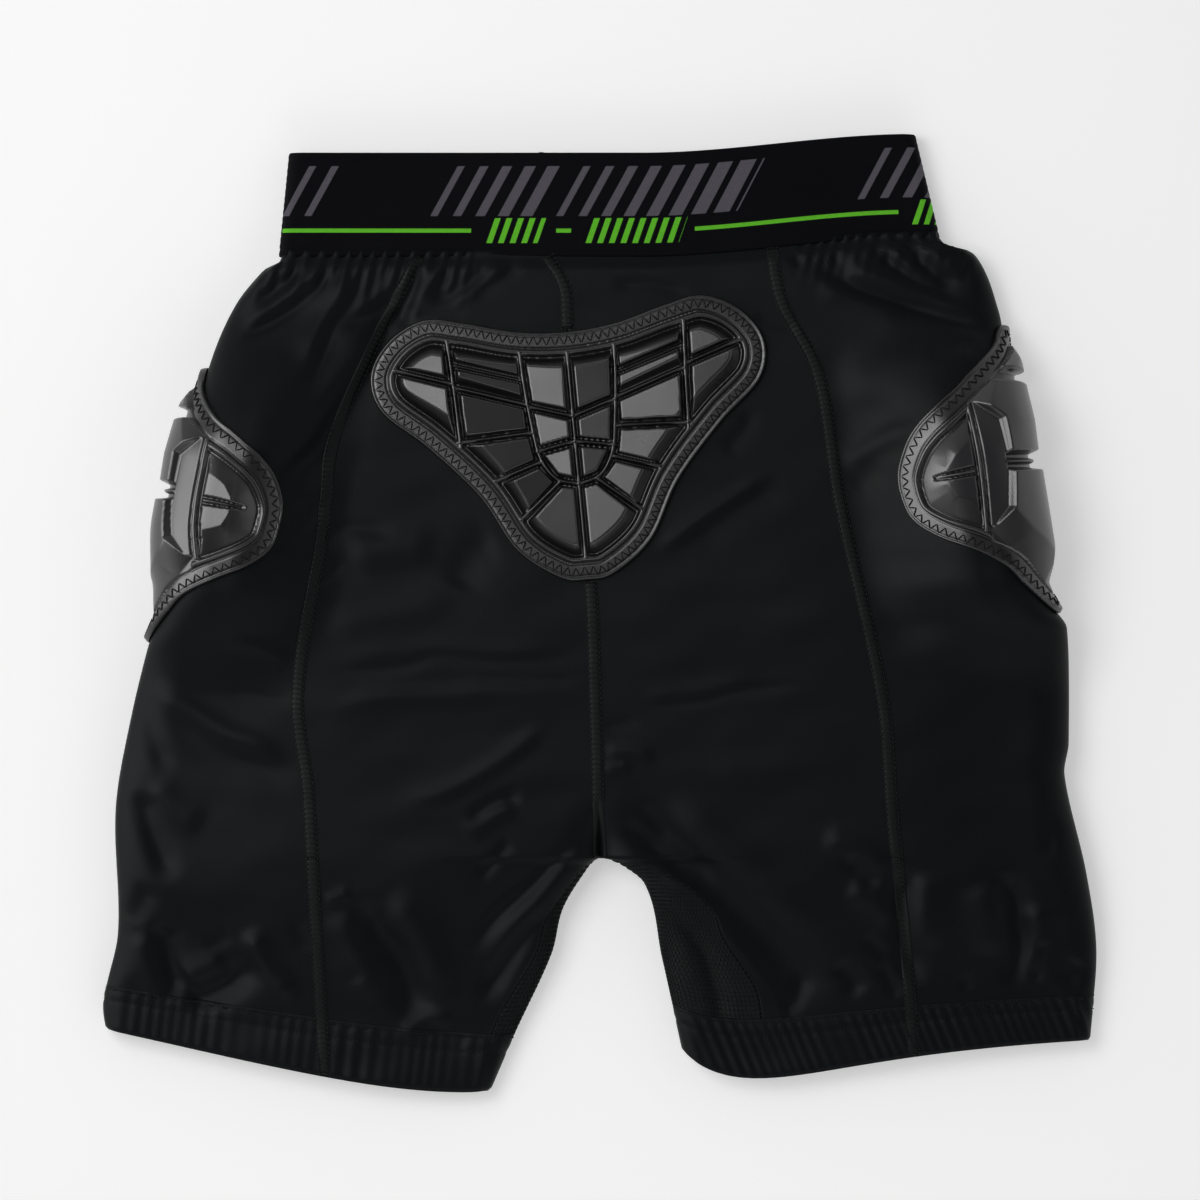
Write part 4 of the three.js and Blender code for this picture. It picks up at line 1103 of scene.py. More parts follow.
def barsGroup():
    # slanted bars between two ends and two heights; Grow makes them wider along the row
    tree, start, end = nodeTree("slantedBars", "ShaderNodeTree", [
        ("INPUT", "NodeSocketFloat", "Along", 0.0),
        ("INPUT", "NodeSocketFloat", "Height", 0.0),
        ("INPUT", "NodeSocketFloat", "From", 0.0),
        ("INPUT", "NodeSocketFloat", "To", 50.0),
        ("INPUT", "NodeSocketFloat", "Low", 10.0),
        ("INPUT", "NodeSocketFloat", "High", 20.0),
        ("INPUT", "NodeSocketFloat", "Slant", 0.5),
        ("INPUT", "NodeSocketFloat", "Pitch", 10.0),
        ("INPUT", "NodeSocketFloat", "Fill", 0.6),
        ("INPUT", "NodeSocketFloat", "Grow", 0.0),
        ("OUTPUT", "NodeSocketFloat", "Mask", None),
    ])
    raised = mathNode(tree, "SUBTRACT", start["Height"], start["Low"])
    leaned = mathNode(tree, "SUBTRACT", start["Along"],
                      mathNode(tree, "MULTIPLY", raised, start["Slant"]))
    gone = mathNode(tree, "SUBTRACT", leaned, start["From"])
    phase = mathNode(tree, "FRACT", mathNode(tree, "DIVIDE", gone, start["Pitch"]))
    fill = mathNode(tree, "MULTIPLY_ADD", gone, start["Grow"], start["Fill"])
    bar = mathNode(tree, "LESS_THAN", phase, fill)
    for test, a, b in (("GREATER_THAN", leaned, start["From"]), ("LESS_THAN", leaned, start["To"]),
                       ("GREATER_THAN", start["Height"], start["Low"]),
                       ("LESS_THAN", start["Height"], start["High"])):
        bar = mathNode(tree, "MULTIPLY", bar, mathNode(tree, test, a, b))
    tree.links.new(bar, end.inputs["Mask"])
    return tree


slantedBars = barsGroup()


def bandMaterial():
    material, tree, shader = newMaterial(
        "waistElastic", elasticLook["dark"], 0.68, Specular_IOR_Level=bandLook["gloss"])
    place = addNode(tree, "ShaderNodeUVMap", uv_map="clothMap")
    split = addNode(tree, "ShaderNodeSeparateXYZ", {0: place.outputs[0]})
    along = mathNode(tree, "MULTIPLY", split.outputs["X"], 1000.0)
    height = mathNode(tree, "MULTIPLY", split.outputs["Y"], 1000.0)

    def bars(start, stop, low, high, slant, pitch, fill, grow=0.0):
        values = {"Along": along, "Height": height, "From": start, "To": stop, "Low": low,
                  "High": high, "Slant": slant, "Pitch": pitch, "Fill": fill, "Grow": grow}
        node = addNode(tree, "ShaderNodeGroup", {}, node_tree=slantedBars)
        for key, value in values.items():
            if isinstance(value, bpy.types.NodeSocket):
                tree.links.new(value, node.inputs[key])
            else:
                node.inputs[key].default_value = value
        return node.outputs[0]

    def together(masks):
        total = masks[0]
        for mask in masks[1:]:
            total = mathNode(tree, "MAXIMUM", total, mask)
        return total

    grey = together([bars(a, b, *bandLook["greyBars"], 0.005) for a, b in greyMotifs])
    green = together([bars(a, b, *bandLook["greenLine"]) for a, b in greenLines]
                     + [bars(a, b, *bandLook["greenBars"]) for a, b in greenMotifs])
    woven = addNode(tree, "ShaderNodeGroup", {}, node_tree=weave)
    tree.links.new(place.outputs[0], woven.inputs["Place"])
    woven.inputs["Warp"].default_value = 2 * math.pi / 0.0009
    woven.inputs["Weft"].default_value = 2 * math.pi / 0.0011

    def mixed(mask, a, b):
        node = addNode(tree, "ShaderNodeMix", {0: mask}, data_type="RGBA")
        for key, value in (("A", a), ("B", b)):
            if isinstance(value, bpy.types.NodeSocket):
                tree.links.new(value, node.inputs[key])
            else:
                node.inputs[key].default_value = (*value, 1)
        return node.outputs["Result"]

    ground = mixed(woven.outputs["Shade"], elasticLook["dark"], elasticLook["light"])
    # the motif yarn is painted lighter on the weave's raised threads and darker between them: painted
    # highlight and painted shade of the weave
    bright = tuple(c * 1.25 for c in bandLook["grey"])
    greyCloth = mixed(woven.outputs["Height"], tuple(c * 0.7 for c in bandLook["grey"]), bright)
    greenCloth = mixed(woven.outputs["Height"], tuple(c * 0.75 for c in bandLook["green"]),
                       tuple(min(c * 1.15, 1) for c in bandLook["green"]))
    color = mixed(green, mixed(grey, ground, greyCloth), greenCloth)
    tree.links.new(color, shader.inputs["Base Color"])
    raised = mathNode(tree, "MAXIMUM", grey, green)
    relief = mathNode(tree, "MULTIPLY_ADD", raised, 1.2, woven.outputs["Height"])
    bump = addNode(tree, "ShaderNodeBump", {"Height": relief, "Strength": bandLook["relief"],
                                           "Distance": 0.0003})
    tree.links.new(bump.outputs[0], shader.inputs["Normal"])
    return material


def waistband():
    sides, share = roundStops(bandSection(np.array(0.5)), 1.0)
    v = np.concatenate([[0.0, 0.004, 0.012], rowsFor(0.024, 0.93, 45, 0.9),
                        [0.94, 0.95, 0.96, 0.975, 0.99, 1.0]])[:, None]
    flat, normals = ringPoints(bandSection, v, sides, share, 0.0, relief=False)
    height = (1 - v) * cut["bandHeight"]
    relief = -0.45 * (1 - smooth(0.0, 0.012, v)) - 0.55 * smooth(0.985, 1.0, v)
    relief = relief - 0.25 * np.exp(-((height - 3.2) / 0.5) ** 2)
    relief = relief + bandLook["ribHeight"] * np.sin(2 * math.pi * height / bandLook["ribPitch"])
    x = flat[..., 0]
    relief = relief + 0.5 * np.sin(x / 31.0 + height / 40.0) * smooth(0.0, 0.2, share)[None, :]
    relief = relief - 0.25 - 0.3 * smooth(0.0, 0.2, share)[None, :]
    points = flat + normals * relief[..., None]
    onBack = (share >= 0)[None, :]
    uv = np.stack(np.broadcast_arrays(np.where(onBack, x, x + 400) * 0.001, height * 0.001), -1)
    piece = gridPiece("waistband", points, bandMaterial(), uv=uv, ring=True, outward=normals)
    thicken(piece, 1.7)
    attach(piece, "hips")
    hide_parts("waistband")


joinX = -25.5


def joinQ(v):
    return qOf(bandSection(v), "left", joinX)


def bandJoin():
    look = dict(seamLook, width=9.0, dome=0.35, base=-0.2)
    rows = ({"pitch": 2.1, "length": 8.6, "thick": 0.8, "angle": 62, "alternate": 14,
             "lift": 0.25, "material": thread},
            {"pitch": 2.1, "length": 1.8, "thick": 0.7, "across": 3.9, "lift": 0.15,
             "material": thread})
    piece = seam("waistband_join", bandSection, "left", (0.01, 0.99), joinQ, 49, look, rows)
    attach(piece, "hips")
    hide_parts("waistband_join")


waistband()
bandJoin()
print("waistband ready")


padLift = {"tail": 0.5, "hip": 1.0}
padStitch = {"pitch": 2.1, "length": 4.9, "thick": 0.75, "angle": 0, "alternate": 65,
             "lift": 0.25, "material": thread}
pad = {
    "x": -15.9, "y": 127.3, "turn": math.radians(5.2),
    "flange": 8.5, "flangeHigh": 2.2, "floor": 2.6, "ribHigh": 6.4, "ribHalf": 1.35,
    "rimHigh": 6.2, "rimWidth": 3.4, "blockHigh": 8.6, "step": 0.5,
    "wide": 5.0,             # width of the slopes beside the rim
    "lean": (0.075, -0.05),  # tilt of the brightest tops
    # how light each face is painted, from 0 to 1: painted highlight on the block tops, painted light on
    # the rim and margin, painted shade on the floor and ribs
    "marginPaintedLight": 0.3, "topPaintedLight": 0.6, "rimPaintedLight": 0.5,
}
padOutline = [(0, 10), (24, 12.2), (48.5, 18.7), (67, 21.8), (84.5, 13.4), (95, -2.4), (91.4, -21),
              (71, -40), (48, -66), (32.6, -93), (13, -108)]
# One block for each cell of the pad's right half; the left half is its mirror image.
# Each has corners, a slope width for each of its edges (None beside the rim), and how far its
# top leans towards the light on the right and on the left.
padCells = [
    ([(0, 0), (0, -31.3), (21.1, -24.5), (22.6, 0)], (1.2, 1.1, 1.1, None), (-0.3, 1.0)),
    ([(0, -31.3), (0, -43.4), (18.9, -47), (21.1, -24.5)], (1.1, 1.1, 1.1, 1.1), (0.1, 1.0)),
    ([(0, -43.4), (0, -64), (11, -60.5), (17.3, -50), (18.9, -47)], (1.1, 1.1, 1.1, 1.1, 1.1),
     (0.0, 1.2)),
    ([(22.6, 0), (22, -12), (56, -1.2), (57, 12)], (1.1, 0.9, 1.1, None), (0.9, -0.6)),
    ([(22, -12), (21.1, -24.2), (55.6, -12.4), (56, -1.2)], (1.1, 3.4, 1.1, 0.9), (0.9, -0.8)),
    ([(57, 16), (56.6, -10.6), (90, 0.6), (88, 12), (70, 20)], (1.2, 1.2, None, None, None),
     (0.6, 0.9)),
    ([(56.6, -10.6), (54.7, -46), (90, -25), (90, 0.6)], (1.2, None, None, 1.2), (0.3, 1.0)),
    ([(21.1, -24.2), (20.4, -37.4), (54.4, -39), (55.6, -12.4)], (1.1, 1.1, 1.1, 1.1),
     (1.0, -1.0)),
    ([(20.4, -37.4), (17.8, -52), (46, -62), (56, -39)], (1.1, 1.1, None, 1.1), (0.9, -0.9)),
    ([(17.8, -52), (9.1, -62.2), (33, -84), (46, -62)], (1.1, 1.1, None, 1.1), (0.8, -0.9)),
    ([(0, -64), (0, -104), (20, -104), (33, -84), (9.1, -62.2)], (1.1, None, None, 1.1, 1.1),
     (0.7, 0.0)),
]
padRibs = [
    [(0, 3), (0, -31.3), (0, -64), (0, -101)],
    [(22.8, 3), (22.2, -12), (21.1, -24.5), (19.8, -35.5), (17.6, -49), (11, -60), (0, -64)],
    [(21.1, -24.5), (0, -31.3)], [(18.9, -46.6), (0, -43.2)],
    [(57.2, 14), (55.8, -12.2), (54.6, -47)], [(56.6, -10.6), (88, 0)],
    [(21.1, -24), (55.2, -12.5)], [(20.4, -37.4), (56, -39)], [(17.8, -52), (46, -61)],
    [(9.1, -62.2), (32, -81)],
]
stripRib = [(23, -12), (55, -1.6)]   # a low one between two strips


def closedCurve(points, count):
    p = np.array(points, float)
    curve = []
    n = len(p)
    for i in range(n):
        a, b, c, d = p[i - 1], p[i], p[(i + 1) % n], p[(i + 2) % n]
        for t in np.arange(12) / 12:
            curve.append(0.5 * (2 * b + (c - a) * t + (2 * a - 5 * b + 4 * c - d) * t ** 2
                                + (3 * b - a - 3 * c + d) * t ** 3))
    curve = np.array(curve)
    closed = np.vstack([curve, curve[:1]])
    far = np.concatenate([[0], np.cumsum(np.linalg.norm(np.diff(closed, axis=0), axis=1))])
    at = np.linspace(0, far[-1], count, endpoint=False)
    return np.stack([np.interp(at, far, closed[:, 0]), np.interp(at, far, closed[:, 1])], 1)


def insideOf(x, y, ring):
    # signed distance to a closed ring, more than 0 inside, and the nearest point on it
    best = np.full(x.shape, 1e9)
    nearX, nearY = np.zeros(x.shape), np.zeros(x.shape)
    inside = np.zeros(x.shape, bool)
    for a, b in zip(ring, np.roll(ring, -1, axis=0)):
        d = b - a
        t = np.clip(((x - a[0]) * d[0] + (y - a[1]) * d[1]) / max(d @ d, 1e-12), 0, 1)
        px, py = a[0] + t * d[0], a[1] + t * d[1]
        gone = np.hypot(x - px, y - py)
        nearer = gone < best
        best = np.where(nearer, gone, best)
        nearX, nearY = np.where(nearer, px, nearX), np.where(nearer, py, nearY)
        if a[1] != b[1]:
            edgeX = (b[0] - a[0]) * (y - a[1]) / (b[1] - a[1]) + a[0]
            inside ^= ((a[1] > y) != (b[1] > y)) & (x < edgeX)
    return np.where(inside, best, -best), nearX, nearY


def softMin(a, b, k):
    t = np.clip(0.5 + 0.5 * (b - a) / k, 0, 1)
    return mix(b, a, t) - k * t * (1 - t)


def softMax(a, b, k):
    return -softMin(-a, -b, k)


def leftOf(x, y, a, b):
    # distance to the left of the line from a to b
    length = math.hypot(b[0] - a[0], b[1] - a[1])
    return ((b[0] - a[0]) * (y - a[1]) - (b[1] - a[1]) * (x - a[0])) / length


def padBlock(x, y, corners, widths, lean, rimRoom, look):
    # a flat-topped block in a cell: every edge has its own slope
    rise = look["blockHigh"] - look["floor"]
    middle = np.mean(corners, axis=0)
    gx, gy = look["lean"]
    height = rise + lean * (gx * (x - middle[0]) + gy * (y - middle[1]))
    for a, b, width in zip(corners, corners[1:] + corners[:1], widths):
        if width is None:
            continue
        inward = leftOf(x, y, a, b) - look["ribHalf"] - 0.3
        height = softMin(height, inward / width * rise, 0.4)
    return softMin(height, (rimRoom - 0.5) / look["wide"] * rise, 0.4)


def roundRib(gone, half, high):
    return high * np.sqrt(np.clip(1 - (gone / half) ** 2, 0, 1))


def reliefPiece(name, ring, step, heightAt, place, material):
    # a field of small quads inside a ring, with its outer points moved onto the ring
    low, high = ring.min(axis=0) - step, ring.max(axis=0) + step
    xs = np.arange(low[0], high[0] + step, step)
    ys = np.arange(low[1], high[1] + step, step)
    x, y = np.meshgrid(xs, ys)
    d, nearX, nearY = insideOf(x, y, ring)
    keep = d > -step * 1.35
    x, y = np.where(d < 0, nearX, x), np.where(d < 0, nearY, y)
    z, shade = heightAt(x, y, np.maximum(d, 0))
    rows, cols = x.shape
    faces = faceGrid(rows, cols)
    inside = (d > 0).reshape(-1)
    kept = keep.reshape(-1)
    use = kept[faces].all(axis=1) & inside[faces].any(axis=1)
    faces = faces[use]
    points = place(x, y, z).reshape(-1, 3)
    # a wall from the ring down to the cloth
    edges = {}
    for f in faces:
        for a, b in zip(f, np.roll(f, -1)):
            edges[(int(a), int(b))] = edges.get((int(a), int(b)), 0) + 1
    border = [e for e in edges if (e[1], e[0]) not in edges]
    flat = place(x, y, z * 0 - 0.3).reshape(-1, 3)
    corners = sorted({i for e in border for i in e})
    under = {i: len(points) + k for k, i in enumerate(corners)}
    points = np.vstack([points, flat[corners]])
    walls = [(b, a, under[a], under[b]) for a, b in border]
    faces = [tuple(map(int, f)) for f in faces] + walls
    used = sorted({i for f in faces for i in f})
    index = {old: new for new, old in enumerate(used)}
    faces = [tuple(index[i] for i in f) for f in faces]
    # the walls down to the cloth take the dark end: painted shade at the pad's edge
    shades = np.concatenate([shade.reshape(-1), np.zeros(len(corners))])[used]
    points = points[used]
    first = np.array(faces[:-len(walls)])
    corner = points[first[:, 0]]
    n = np.cross(points[first[:, 1]] - corner, points[first[:, 2]] - corner)
    up = place(np.array([1.0]), np.array([0.0]), np.array([5.0]))
    down = place(np.array([1.0]), np.array([0.0]), np.array([0.0]))
    if (n @ (up - down)[0]).sum() < 0:
        faces = [f[::-1] for f in faces]
    piece = makeMesh(name, points, faces, material)
    colors = piece.data.color_attributes.new("shade", "FLOAT_COLOR", "POINT")
    colors.data.foreach_set("color", np.stack([shades, shades, shades, shades * 0 + 1], 1).ravel())
    return piece


def flangeHeight(d, look):
    # the sewn margin: a raised line at its edge, a groove by the rim, and the rim's round top
    h = look["flangeHigh"] * smooth(-0.5, 0.9, d)
    h = h + 0.45 * np.exp(-((d - 0.9) / 0.45) ** 2) - 0.35 * np.exp(-((d - 2.0) / 0.4) ** 2)
    h = h - 0.5 * np.exp(-((d - look["flange"] + 0.5) / 0.45) ** 2)
    across = (d - look["flange"]) / look["rimWidth"]
    hump = np.sqrt(np.clip(1 - (2 * across - 1) ** 2, 0, 1))
    rim = look["flangeHigh"] + (look["rimHigh"] - look["flangeHigh"]) * hump
    inRim = (across > 0) & (across < 1)
    h = np.where(inRim, np.maximum(h, rim), h)
    return np.where(across >= 1, look["floor"], h)


def marginPaintedLight(d, look):
    # painted light on the sewn margin, fading to painted shade at its outer edge and inside the rim
    inner = smooth(look["flange"] - 0.5, look["flange"] + 0.5, d)
    return look["marginPaintedLight"] * smooth(0, 1, d) * (1 - inner)


tailRing = closedCurve(padOutline + [(0, -110)] + [(-x, y) for x, y in padOutline[:0:-1]], 420)
tailSlope = math.atan(-cut["seatFall"] / cut["bandBottom"])


def placeOnSeat(x, y, z):
    c, s = math.cos(pad["turn"]), math.sin(pad["turn"])
    px, py = x * c - y * s, x * s + y * c
    surface = cut["seatHeight"] - cut["seatFall"] * pad["y"] / cut["bandBottom"] + padLift["tail"]
    cs, ss = math.cos(tailSlope), math.sin(tailSlope)
    return np.stack([px + pad["x"], py * cs - z * ss + pad["y"], py * ss + z * cs + surface], -1)


def tailHeight(x, y, d):
    h = flangeHeight(d, pad)
    rimRoom = d - pad["flange"] - pad["rimWidth"]
    ribRise = pad["ribHigh"] - pad["floor"]
    ribs, blocks = np.zeros(x.shape), np.zeros(x.shape)
    for line in padRibs:
        gone = toPath(np.abs(x), y, smoothPath(line, 5))[0]
        ribs = softMax(ribs, roundRib(gone, pad["ribHalf"], ribRise), 0.3)
    gone = toPath(np.abs(x), y, np.array(stripRib, float))[0]
    ribs = np.maximum(ribs, roundRib(gone, 0.8, 0.6 * ribRise))
    for corners, widths, leans in padCells:
        for sign, lean in zip((1, -1), leans):
            mirrored = [(cx * sign, cy) for cx, cy in corners]
            edges = widths
            if sign < 0:
                mirrored = mirrored[:1] + mirrored[:0:-1]
                edges = widths[::-1]
            blocks = np.maximum(blocks, padBlock(x, y, mirrored, edges, lean, rimRoom, pad))
    inner = pad["floor"] + np.maximum(ribs, blocks)
    tray = d > pad["flange"] + pad["rimWidth"] * 0.5
    h = np.where(tray, np.maximum(h, inner), h)
    # painted light: the block tops painted lighter as a highlight, the rim and margin in between, the
    # floor and ribs left dark as painted shade
    shade = marginPaintedLight(d, pad)
    shade = np.where(tray & (blocks > pad["blockHigh"] - pad["floor"] - 1.3), pad["topPaintedLight"], shade)
    shade = np.where((d > pad["flange"]) & ~tray, pad["rimPaintedLight"], shade)
    return h, shade


def tailbonePad():
    piece = reliefPiece("tailbone_pad", tailRing, pad["step"], tailHeight, placeOnSeat, padFoam)
    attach(piece, "hips")
    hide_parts("tailbone_pad")
    d = 4.2
    inner = insetRing(tailRing, d)
    z = np.full(len(inner), pad["flangeHigh"])
    path = placeOnSeat(inner[:, 0], inner[:, 1], z)
    zero = np.zeros(1)
    up = placeOnSeat(zero, zero, zero + 1) - placeOnSeat(zero, zero, zero)
    sewn = stitches("tailbone_pad_stitch", path, np.repeat(up, len(path), 0), padStitch, closed=True)
    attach(sewn, "hips")
    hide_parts("tailbone_pad_stitch")


def insetRing(ring, amount):
    along = np.roll(ring, -1, axis=0) - np.roll(ring, 1, axis=0)
    along /= np.linalg.norm(along, axis=1, keepdims=True)
    area = np.sum(ring[:, 0] * np.roll(ring[:, 1], -1) - np.roll(ring[:, 0], -1) * ring[:, 1])
    return ring + amount * np.sign(area) * np.stack([-along[:, 1], along[:, 0]], 1)


hip = {
    "flange": 8.5, "flangeHigh": 2.2, "floor": 2.6, "rimHigh": 5.4, "rimWidth": 3.0, "step": 0.46,
    "ridge": 26.0, "lobeRise": 4.6, "band": 1.5, "slotY": 59.7,
    # how light each face is painted, from 0 to 1: painted highlight on the lobe tops, the band and the
    # blocks, darker painted shade on the tray and the margin
    "marginPaintedLight": 0.35, "trayPaintedLight": 0.45, "blockPaintedLight": 0.7, "lobePaintedLight": 1.0, "bandPaintedLight": 0.9,
}
hipShift = {"left": (-4.0, 0.0), "right": (4.0, 14.0)}   # round to the back, and up
hipHalf = [(119, 4), (112, 8.5), (105, 15), (94, 26), (85, 39), (77, 50), (68, 58), (55, 64),
           (42, 64), (32, 60), (24, 49), (17, 32), (10, 21), (1, 14), (-11, 4)]
hipRing = closedCurve([(half, y) for y, half in hipHalf] + [(-half, y) for y, half in hipHalf[::-1]],
                      420)
# The back half of a hip pad as (q, y); the front half is its mirror image. Each block has an
# outline, its slopes as (line, width), and the height of its top.
hipBlocks = [
    ([(-9, 98.2), (9, 98.2), (13, 99.5), (10, 106), (3, 113), (-9, 113)],
     [([(-9, 98.2), (13, 98.8)], 0.9), ([(-9, 112), (3, 112), (10, 106)], 10.0),
      ([(10, 106), (13, 99.5)], 3.0)], 6.2),
    ([(-9, 94), (20, 94), (25, 84.3), (22, 83.8), (15.5, 77), (15.4, 62.6), (-9, 62.6)],
     [([(-9, 94), (20, 94)], 1.4), ([(20, 94), (25, 84.3)], 8.0),
      ([(25, 84.3), (22, 83.8), (15.5, 77), (15.4, 62.6), (-9, 62.6)], 1.7)], 6.4),
    ([(-9, 56.8), (15.5, 56.8), (17.8, 39), (23.3, 30.6), (27, 29.7), (20, 19), (10, 8), (5, 1),
      (-9, 1)],
     [([(-9, 56.8), (15.5, 56.8), (17.8, 39), (23.3, 30.6), (27, 29.7)], 1.7),
      ([(27, 29.7), (20, 19), (10, 8), (5, 1), (-9, 1)], 13.0)], 6.2),
]
hipLobe = [(27, 70), (36, 63), (40.2, 57), (40.9, 50), (37.7, 43.9), (28.5, 41.5)]
hipSlit = [(25.5, 56.4), (47.5, 52.2)]
hipRidge = [(25.4, 86), (25.8, 71), (25.9, 58), (26.6, 45), (27.8, 28)]


def placeOnHip(name):
    aside, up = hipShift[name]

    def place(q, y, z):
        return clothAt(torsoSection, torsoV(y + up), name, q + aside, z + padLift["hip"],
                       relief=False)
    return place


def hipHeightAt(x, y, d):
    q = np.abs(x)
    inLobe = smooth(hip["ridge"] - 1.5, hip["ridge"] + 1.0, q)
    h = flangeHeight(d, dict(hip, rimHigh=hip["flangeHigh"] + 0.2))
    h = mix(h, flangeHeight(d, hip), inLobe)
    rimRoom = np.maximum(d - hip["flange"] - hip["rimWidth"], 0)
    inside = np.zeros(x.shape)
    facets = np.zeros(x.shape)
    for outlineOf, slopes, top in hipBlocks:
        ring = np.array(outlineOf, float)
        height = top - 0.05 * np.abs(y - 77) * (ring[0, 1] > 90)
        for line, width in slopes:
            gone = toPath(q, y, np.array(line, float))[0]
            height = softMin(height, gone / width * top, 0.35)
        inBlock = insideOf(q, y, ring)[0] > 0
        facets = np.where(inBlock, np.maximum(facets, height), facets)
    # the smooth hollow band, and the slot's rib between two blocks
    band = hip["band"] + 0.016 * (q - 21) ** 2
    inBand = (q < hip["ridge"]) & (q > 15) & (y > 29.5) & (y < 84.5)
    band = np.where(inBand, band, 0.2)
    slotRib = roundRib(np.abs(y - hip["slotY"]), 1.2, 2.6) * smooth(17, 15, q)
    inside = np.maximum(np.maximum(facets, band), np.where(q < 17, slotRib, 0))
    # the lobe: a flat top with slopes to the rim, cut by a tapering slit
    top = insideOf(q, y, np.array(hipLobe, float))[0]
    off = np.maximum(-top, 0)
    lean = 0.58 + 0.42 * np.clip((q - 27) / 13, 0, 1)
    lobe = hip["lobeRise"] * lean * rimRoom / np.maximum(rimRoom + off, 1e-6)
    lobe = np.minimum(lobe, np.maximum(rimRoom - 0.5, 0) * 3.0)
    gone, along = toPath(q, y, np.array(hipSlit, float))
    slit = smooth(2.6, 1.5, gone / (1 - 0.6 * along ** 2)) * smooth(1.0, 0.9, along)
    blade = roundRib(gone, 1.0, 2.4) * smooth(1.0, 0.6, along)
    lobe = mix(lobe, np.minimum(lobe, 0.8 + blade), slit)
    inside = np.where(q > hip["ridge"], lobe, inside)
    gone = toPath(q, y, smoothPath(hipRidge, 5))[0]
    inside = np.where(gone < 2.6, np.minimum(inside, 0.4 + 1.2 * np.maximum(gone - 1.5, 0)), inside)
    inside = np.maximum(inside, roundRib(gone, 1.15, 3.2))
    tray = d > hip["flange"] + mix(-0.4, hip["rimWidth"] * 0.5, inLobe)
    h = np.where(tray, np.maximum(h, hip["floor"] + inside), h)
    # painted light: the lit lobe tops, band and blocks painted lighter, the tray and the margin painted
    # darker as shade
    onBlock = facets > 1.0
    shade = marginPaintedLight(d, hip)
    shade = np.where(tray, hip["trayPaintedLight"], shade)
    shade = np.where(tray & onBlock, hip["blockPaintedLight"], shade)
    shade = np.where(tray & (q > hip["ridge"]) & (top > 0), hip["lobePaintedLight"], shade)
    shade = np.where(tray & (q < hip["ridge"]) & ~onBlock & (band > 1), hip["bandPaintedLight"], shade)
    return h, shade


def hipPad(name):
    place = placeOnHip(name)
    piece = reliefPiece(f"hip_pad_{name}", hipRing, hip["step"], hipHeightAt, place, padFoam)
    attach(piece, "hips")
    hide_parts(f"hip_pad_{name}")
    inner = insetRing(hipRing, 3.9)
    path = place(inner[:, 0], inner[:, 1], np.full(len(inner), hip["flangeHigh"]))
    ups = place(inner[:, 0], inner[:, 1], np.full(len(inner), hip["flangeHigh"] + 1.0)) - path
    look = dict(padStitch, pitch=2.4, length=4.6, alternate=58)
    sewn = stitches(f"hip_pad_stitch_{name}", path, ups, look, closed=True)
    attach(sewn, "hips")
    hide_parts(f"hip_pad_stitch_{name}")


lining = {"tailX": (-92, 92), "tailY": (-106, 18), "hipY": (112, -4), "waffle": 0.2,
          "tailFlat": (0.190, 0.132), "hipFlat": (0.132, 0.118)}


def linings():
    xs = np.linspace(*lining["tailX"], 93)
    ys = np.linspace(*lining["tailY"], 63)
    x, y = np.meshgrid(xs, ys)
    d, nearX, nearY = insideOf(x, y, tailRing)
    x, y = np.where(d < 0, nearX, x), np.where(d < 0, nearY, y)
    puff = -1.7 - 0.25 * smooth(0, 10, d) * (1 + np.sin(x / 3.1) * np.sin(y / 3.1))
    points = placeOnSeat(x, y, puff - 0.9)
    up = placeOnSeat(x, y, puff * 0 - 1) - placeOnSeat(x, y, puff * 0)
    piece = gridPiece("tailbone_pad_lining", points, liningCloth, outward=up)
    pieces = [(piece, "tailbone_pad_lining", lining["tailFlat"])]
    for name in ("left", "right"):
        aside, up = hipShift[name]
        y = np.linspace(*lining["hipY"], 50)
        v = torsoV(y + up)[:, None]
        rising = np.array(hipHalf[::-1], float)
        half = np.maximum(np.interp(y, rising[:, 0], rising[:, 1]) - 4, 4)[:, None]
        q = np.linspace(1, -1, 61)[None, :] * half + aside
        waffle = lining["waffle"] * np.sin(q / 2.4) * np.sin(v * 120)
        points = clothAt(torsoSection, v, name, q, -2.6 + waffle, relief=False)
        normals = -clothNormal(torsoSection, v, name, q)
        made = gridPiece(f"hip_pad_lining_{name}", points, liningCloth, outward=normals)
        pieces.append((made, f"hip_pad_lining_{name}", lining["hipFlat"]))
    for piece, node, flat in pieces:
        area = meshArea(piece)
        thicken(piece, 0.8)
        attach(piece, "hips")
        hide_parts(node)


tailbonePad()
for name in ("left", "right"):
    hipPad(name)
linings()
print("pads ready")


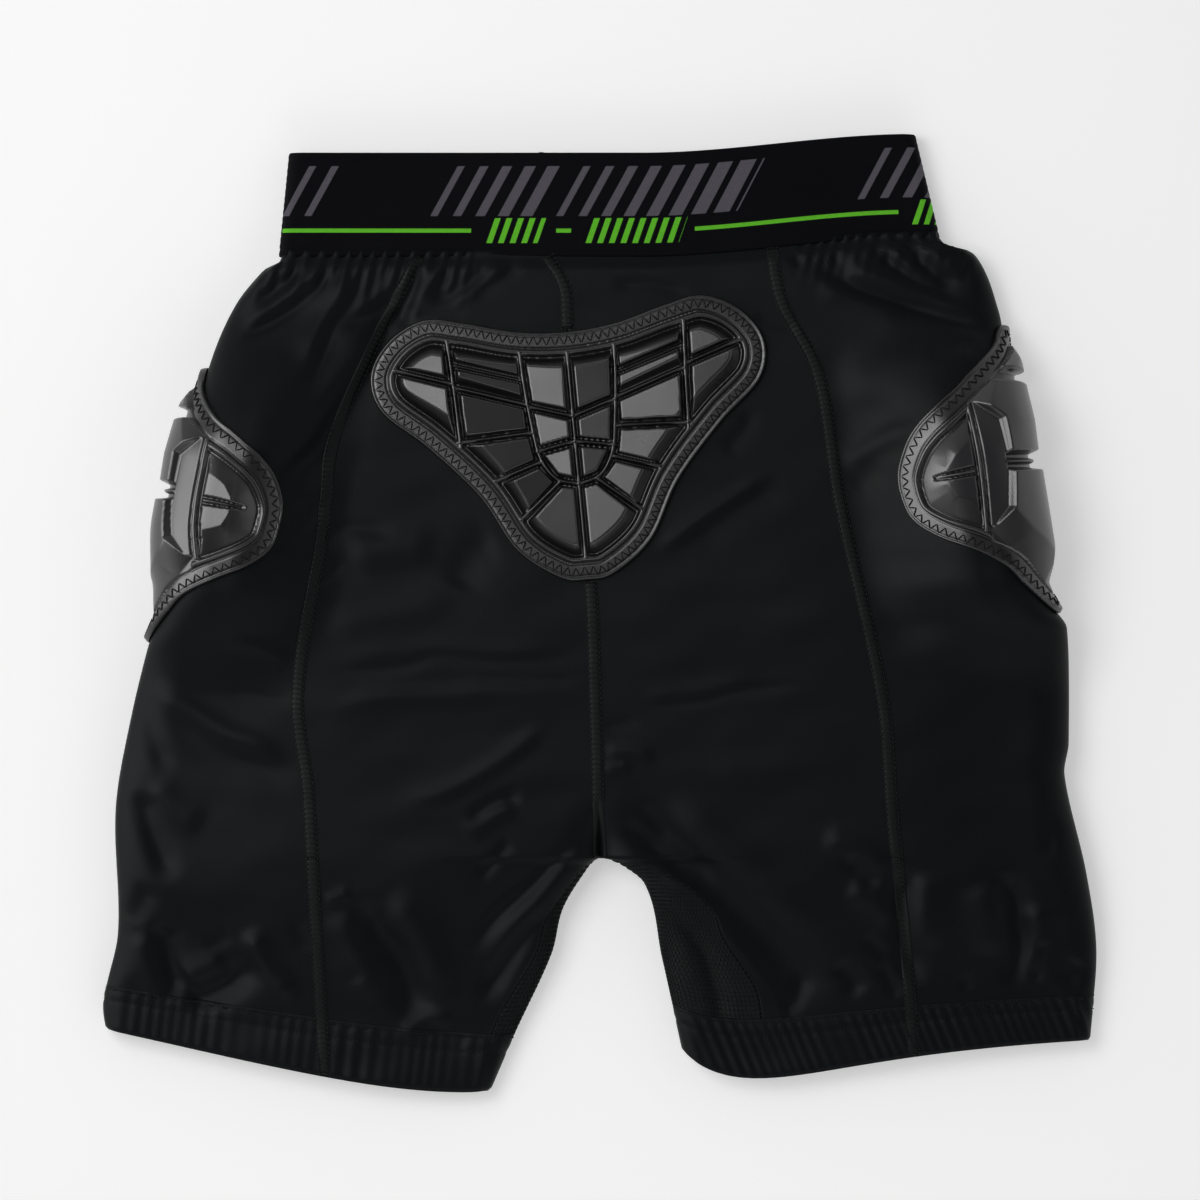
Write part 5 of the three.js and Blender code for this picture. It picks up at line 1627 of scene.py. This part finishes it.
stageLook = {
    "floor": (0.80, 0.805, 0.80), "floorGlow": 0.40,
    "floorSize": 16, "floorZ": -0.0014,   # in metres, a little under the cloth
    "camera": (-0.00005, 0.0065, 4.02), "lens": 250,
    "overhead": 0.03, "around": 0.5,   # brightness of the room straight above and at the sides
    # softboxes as (place, size, power, whether it only makes glints)
    "boxes": [((-0.70, 0.40, 1.45), (0.95, 1.0), 11.3, False),
              ((-1.25, 0.05, 0.68), (0.85, 1.2), 10.5, True),
              ((1.3, 0.1, 0.6), (0.8, 1.3), 0.8, False),
              ((0.2, -1.3, 0.8), (1.4, 0.7), 3.0, False)],
}


def stageScene():
    bpy.ops.mesh.primitive_plane_add(size=stageLook["floorSize"],
                                     location=(0, 0, stageLook["floorZ"]))
    floor = bpy.context.object
    floor.name = "floor"
    material, tree, shader = newMaterial("paleFloor", stageLook["floor"], 0.9)
    shader.inputs["Emission Color"].default_value = (1, 1, 1, 1)
    shader.inputs["Emission Strength"].default_value = stageLook["floorGlow"]
    shader.inputs["Specular IOR Level"].default_value = 0.1
    floor.data.materials.append(material)
    world = bpy.data.worlds.new("softLight")
    world.use_nodes = True
    tree = world.node_tree
    place = addNode(tree, "ShaderNodeTexCoord")
    split = addNode(tree, "ShaderNodeSeparateXYZ", {0: place.outputs["Generated"]})
    glow = addNode(tree, "ShaderNodeMapRange",
                   {"Value": split.outputs["Z"], "From Min": 0.35, "From Max": 0.9,
                    "To Min": stageLook["around"], "To Max": stageLook["overhead"]})
    tree.links.new(glow.outputs[0], tree.nodes["Background"].inputs["Strength"])
    tree.nodes["Background"].inputs["Color"].default_value = (1, 1, 1, 1)
    bpy.context.scene.world = world
    for number, (spot, size, power, glintOnly) in enumerate(stageLook["boxes"]):
        lamp = bpy.data.lights.new(f"softbox{number}", "AREA")
        lamp.shape = "RECTANGLE"
        lamp.size, lamp.size_y = size
        lamp.energy = power
        light = bpy.data.objects.new(lamp.name, lamp)
        light.location = spot
        light.visible_camera = False
        light.visible_diffuse = not glintOnly
        light.rotation_euler = (-Vector(spot)).to_track_quat("-Z", "Y").to_euler()
        bpy.context.collection.objects.link(light)
    view = bpy.data.cameras.new("camera")
    view.lens, view.sensor_width = stageLook["lens"], 36
    camera = bpy.data.objects.new("camera", view)
    camera.location = stageLook["camera"]
    bpy.context.collection.objects.link(camera)
    bpy.context.scene.camera = camera
    bpy.context.scene.view_settings.view_transform = "Standard"


stageScene()
print("scene ready")
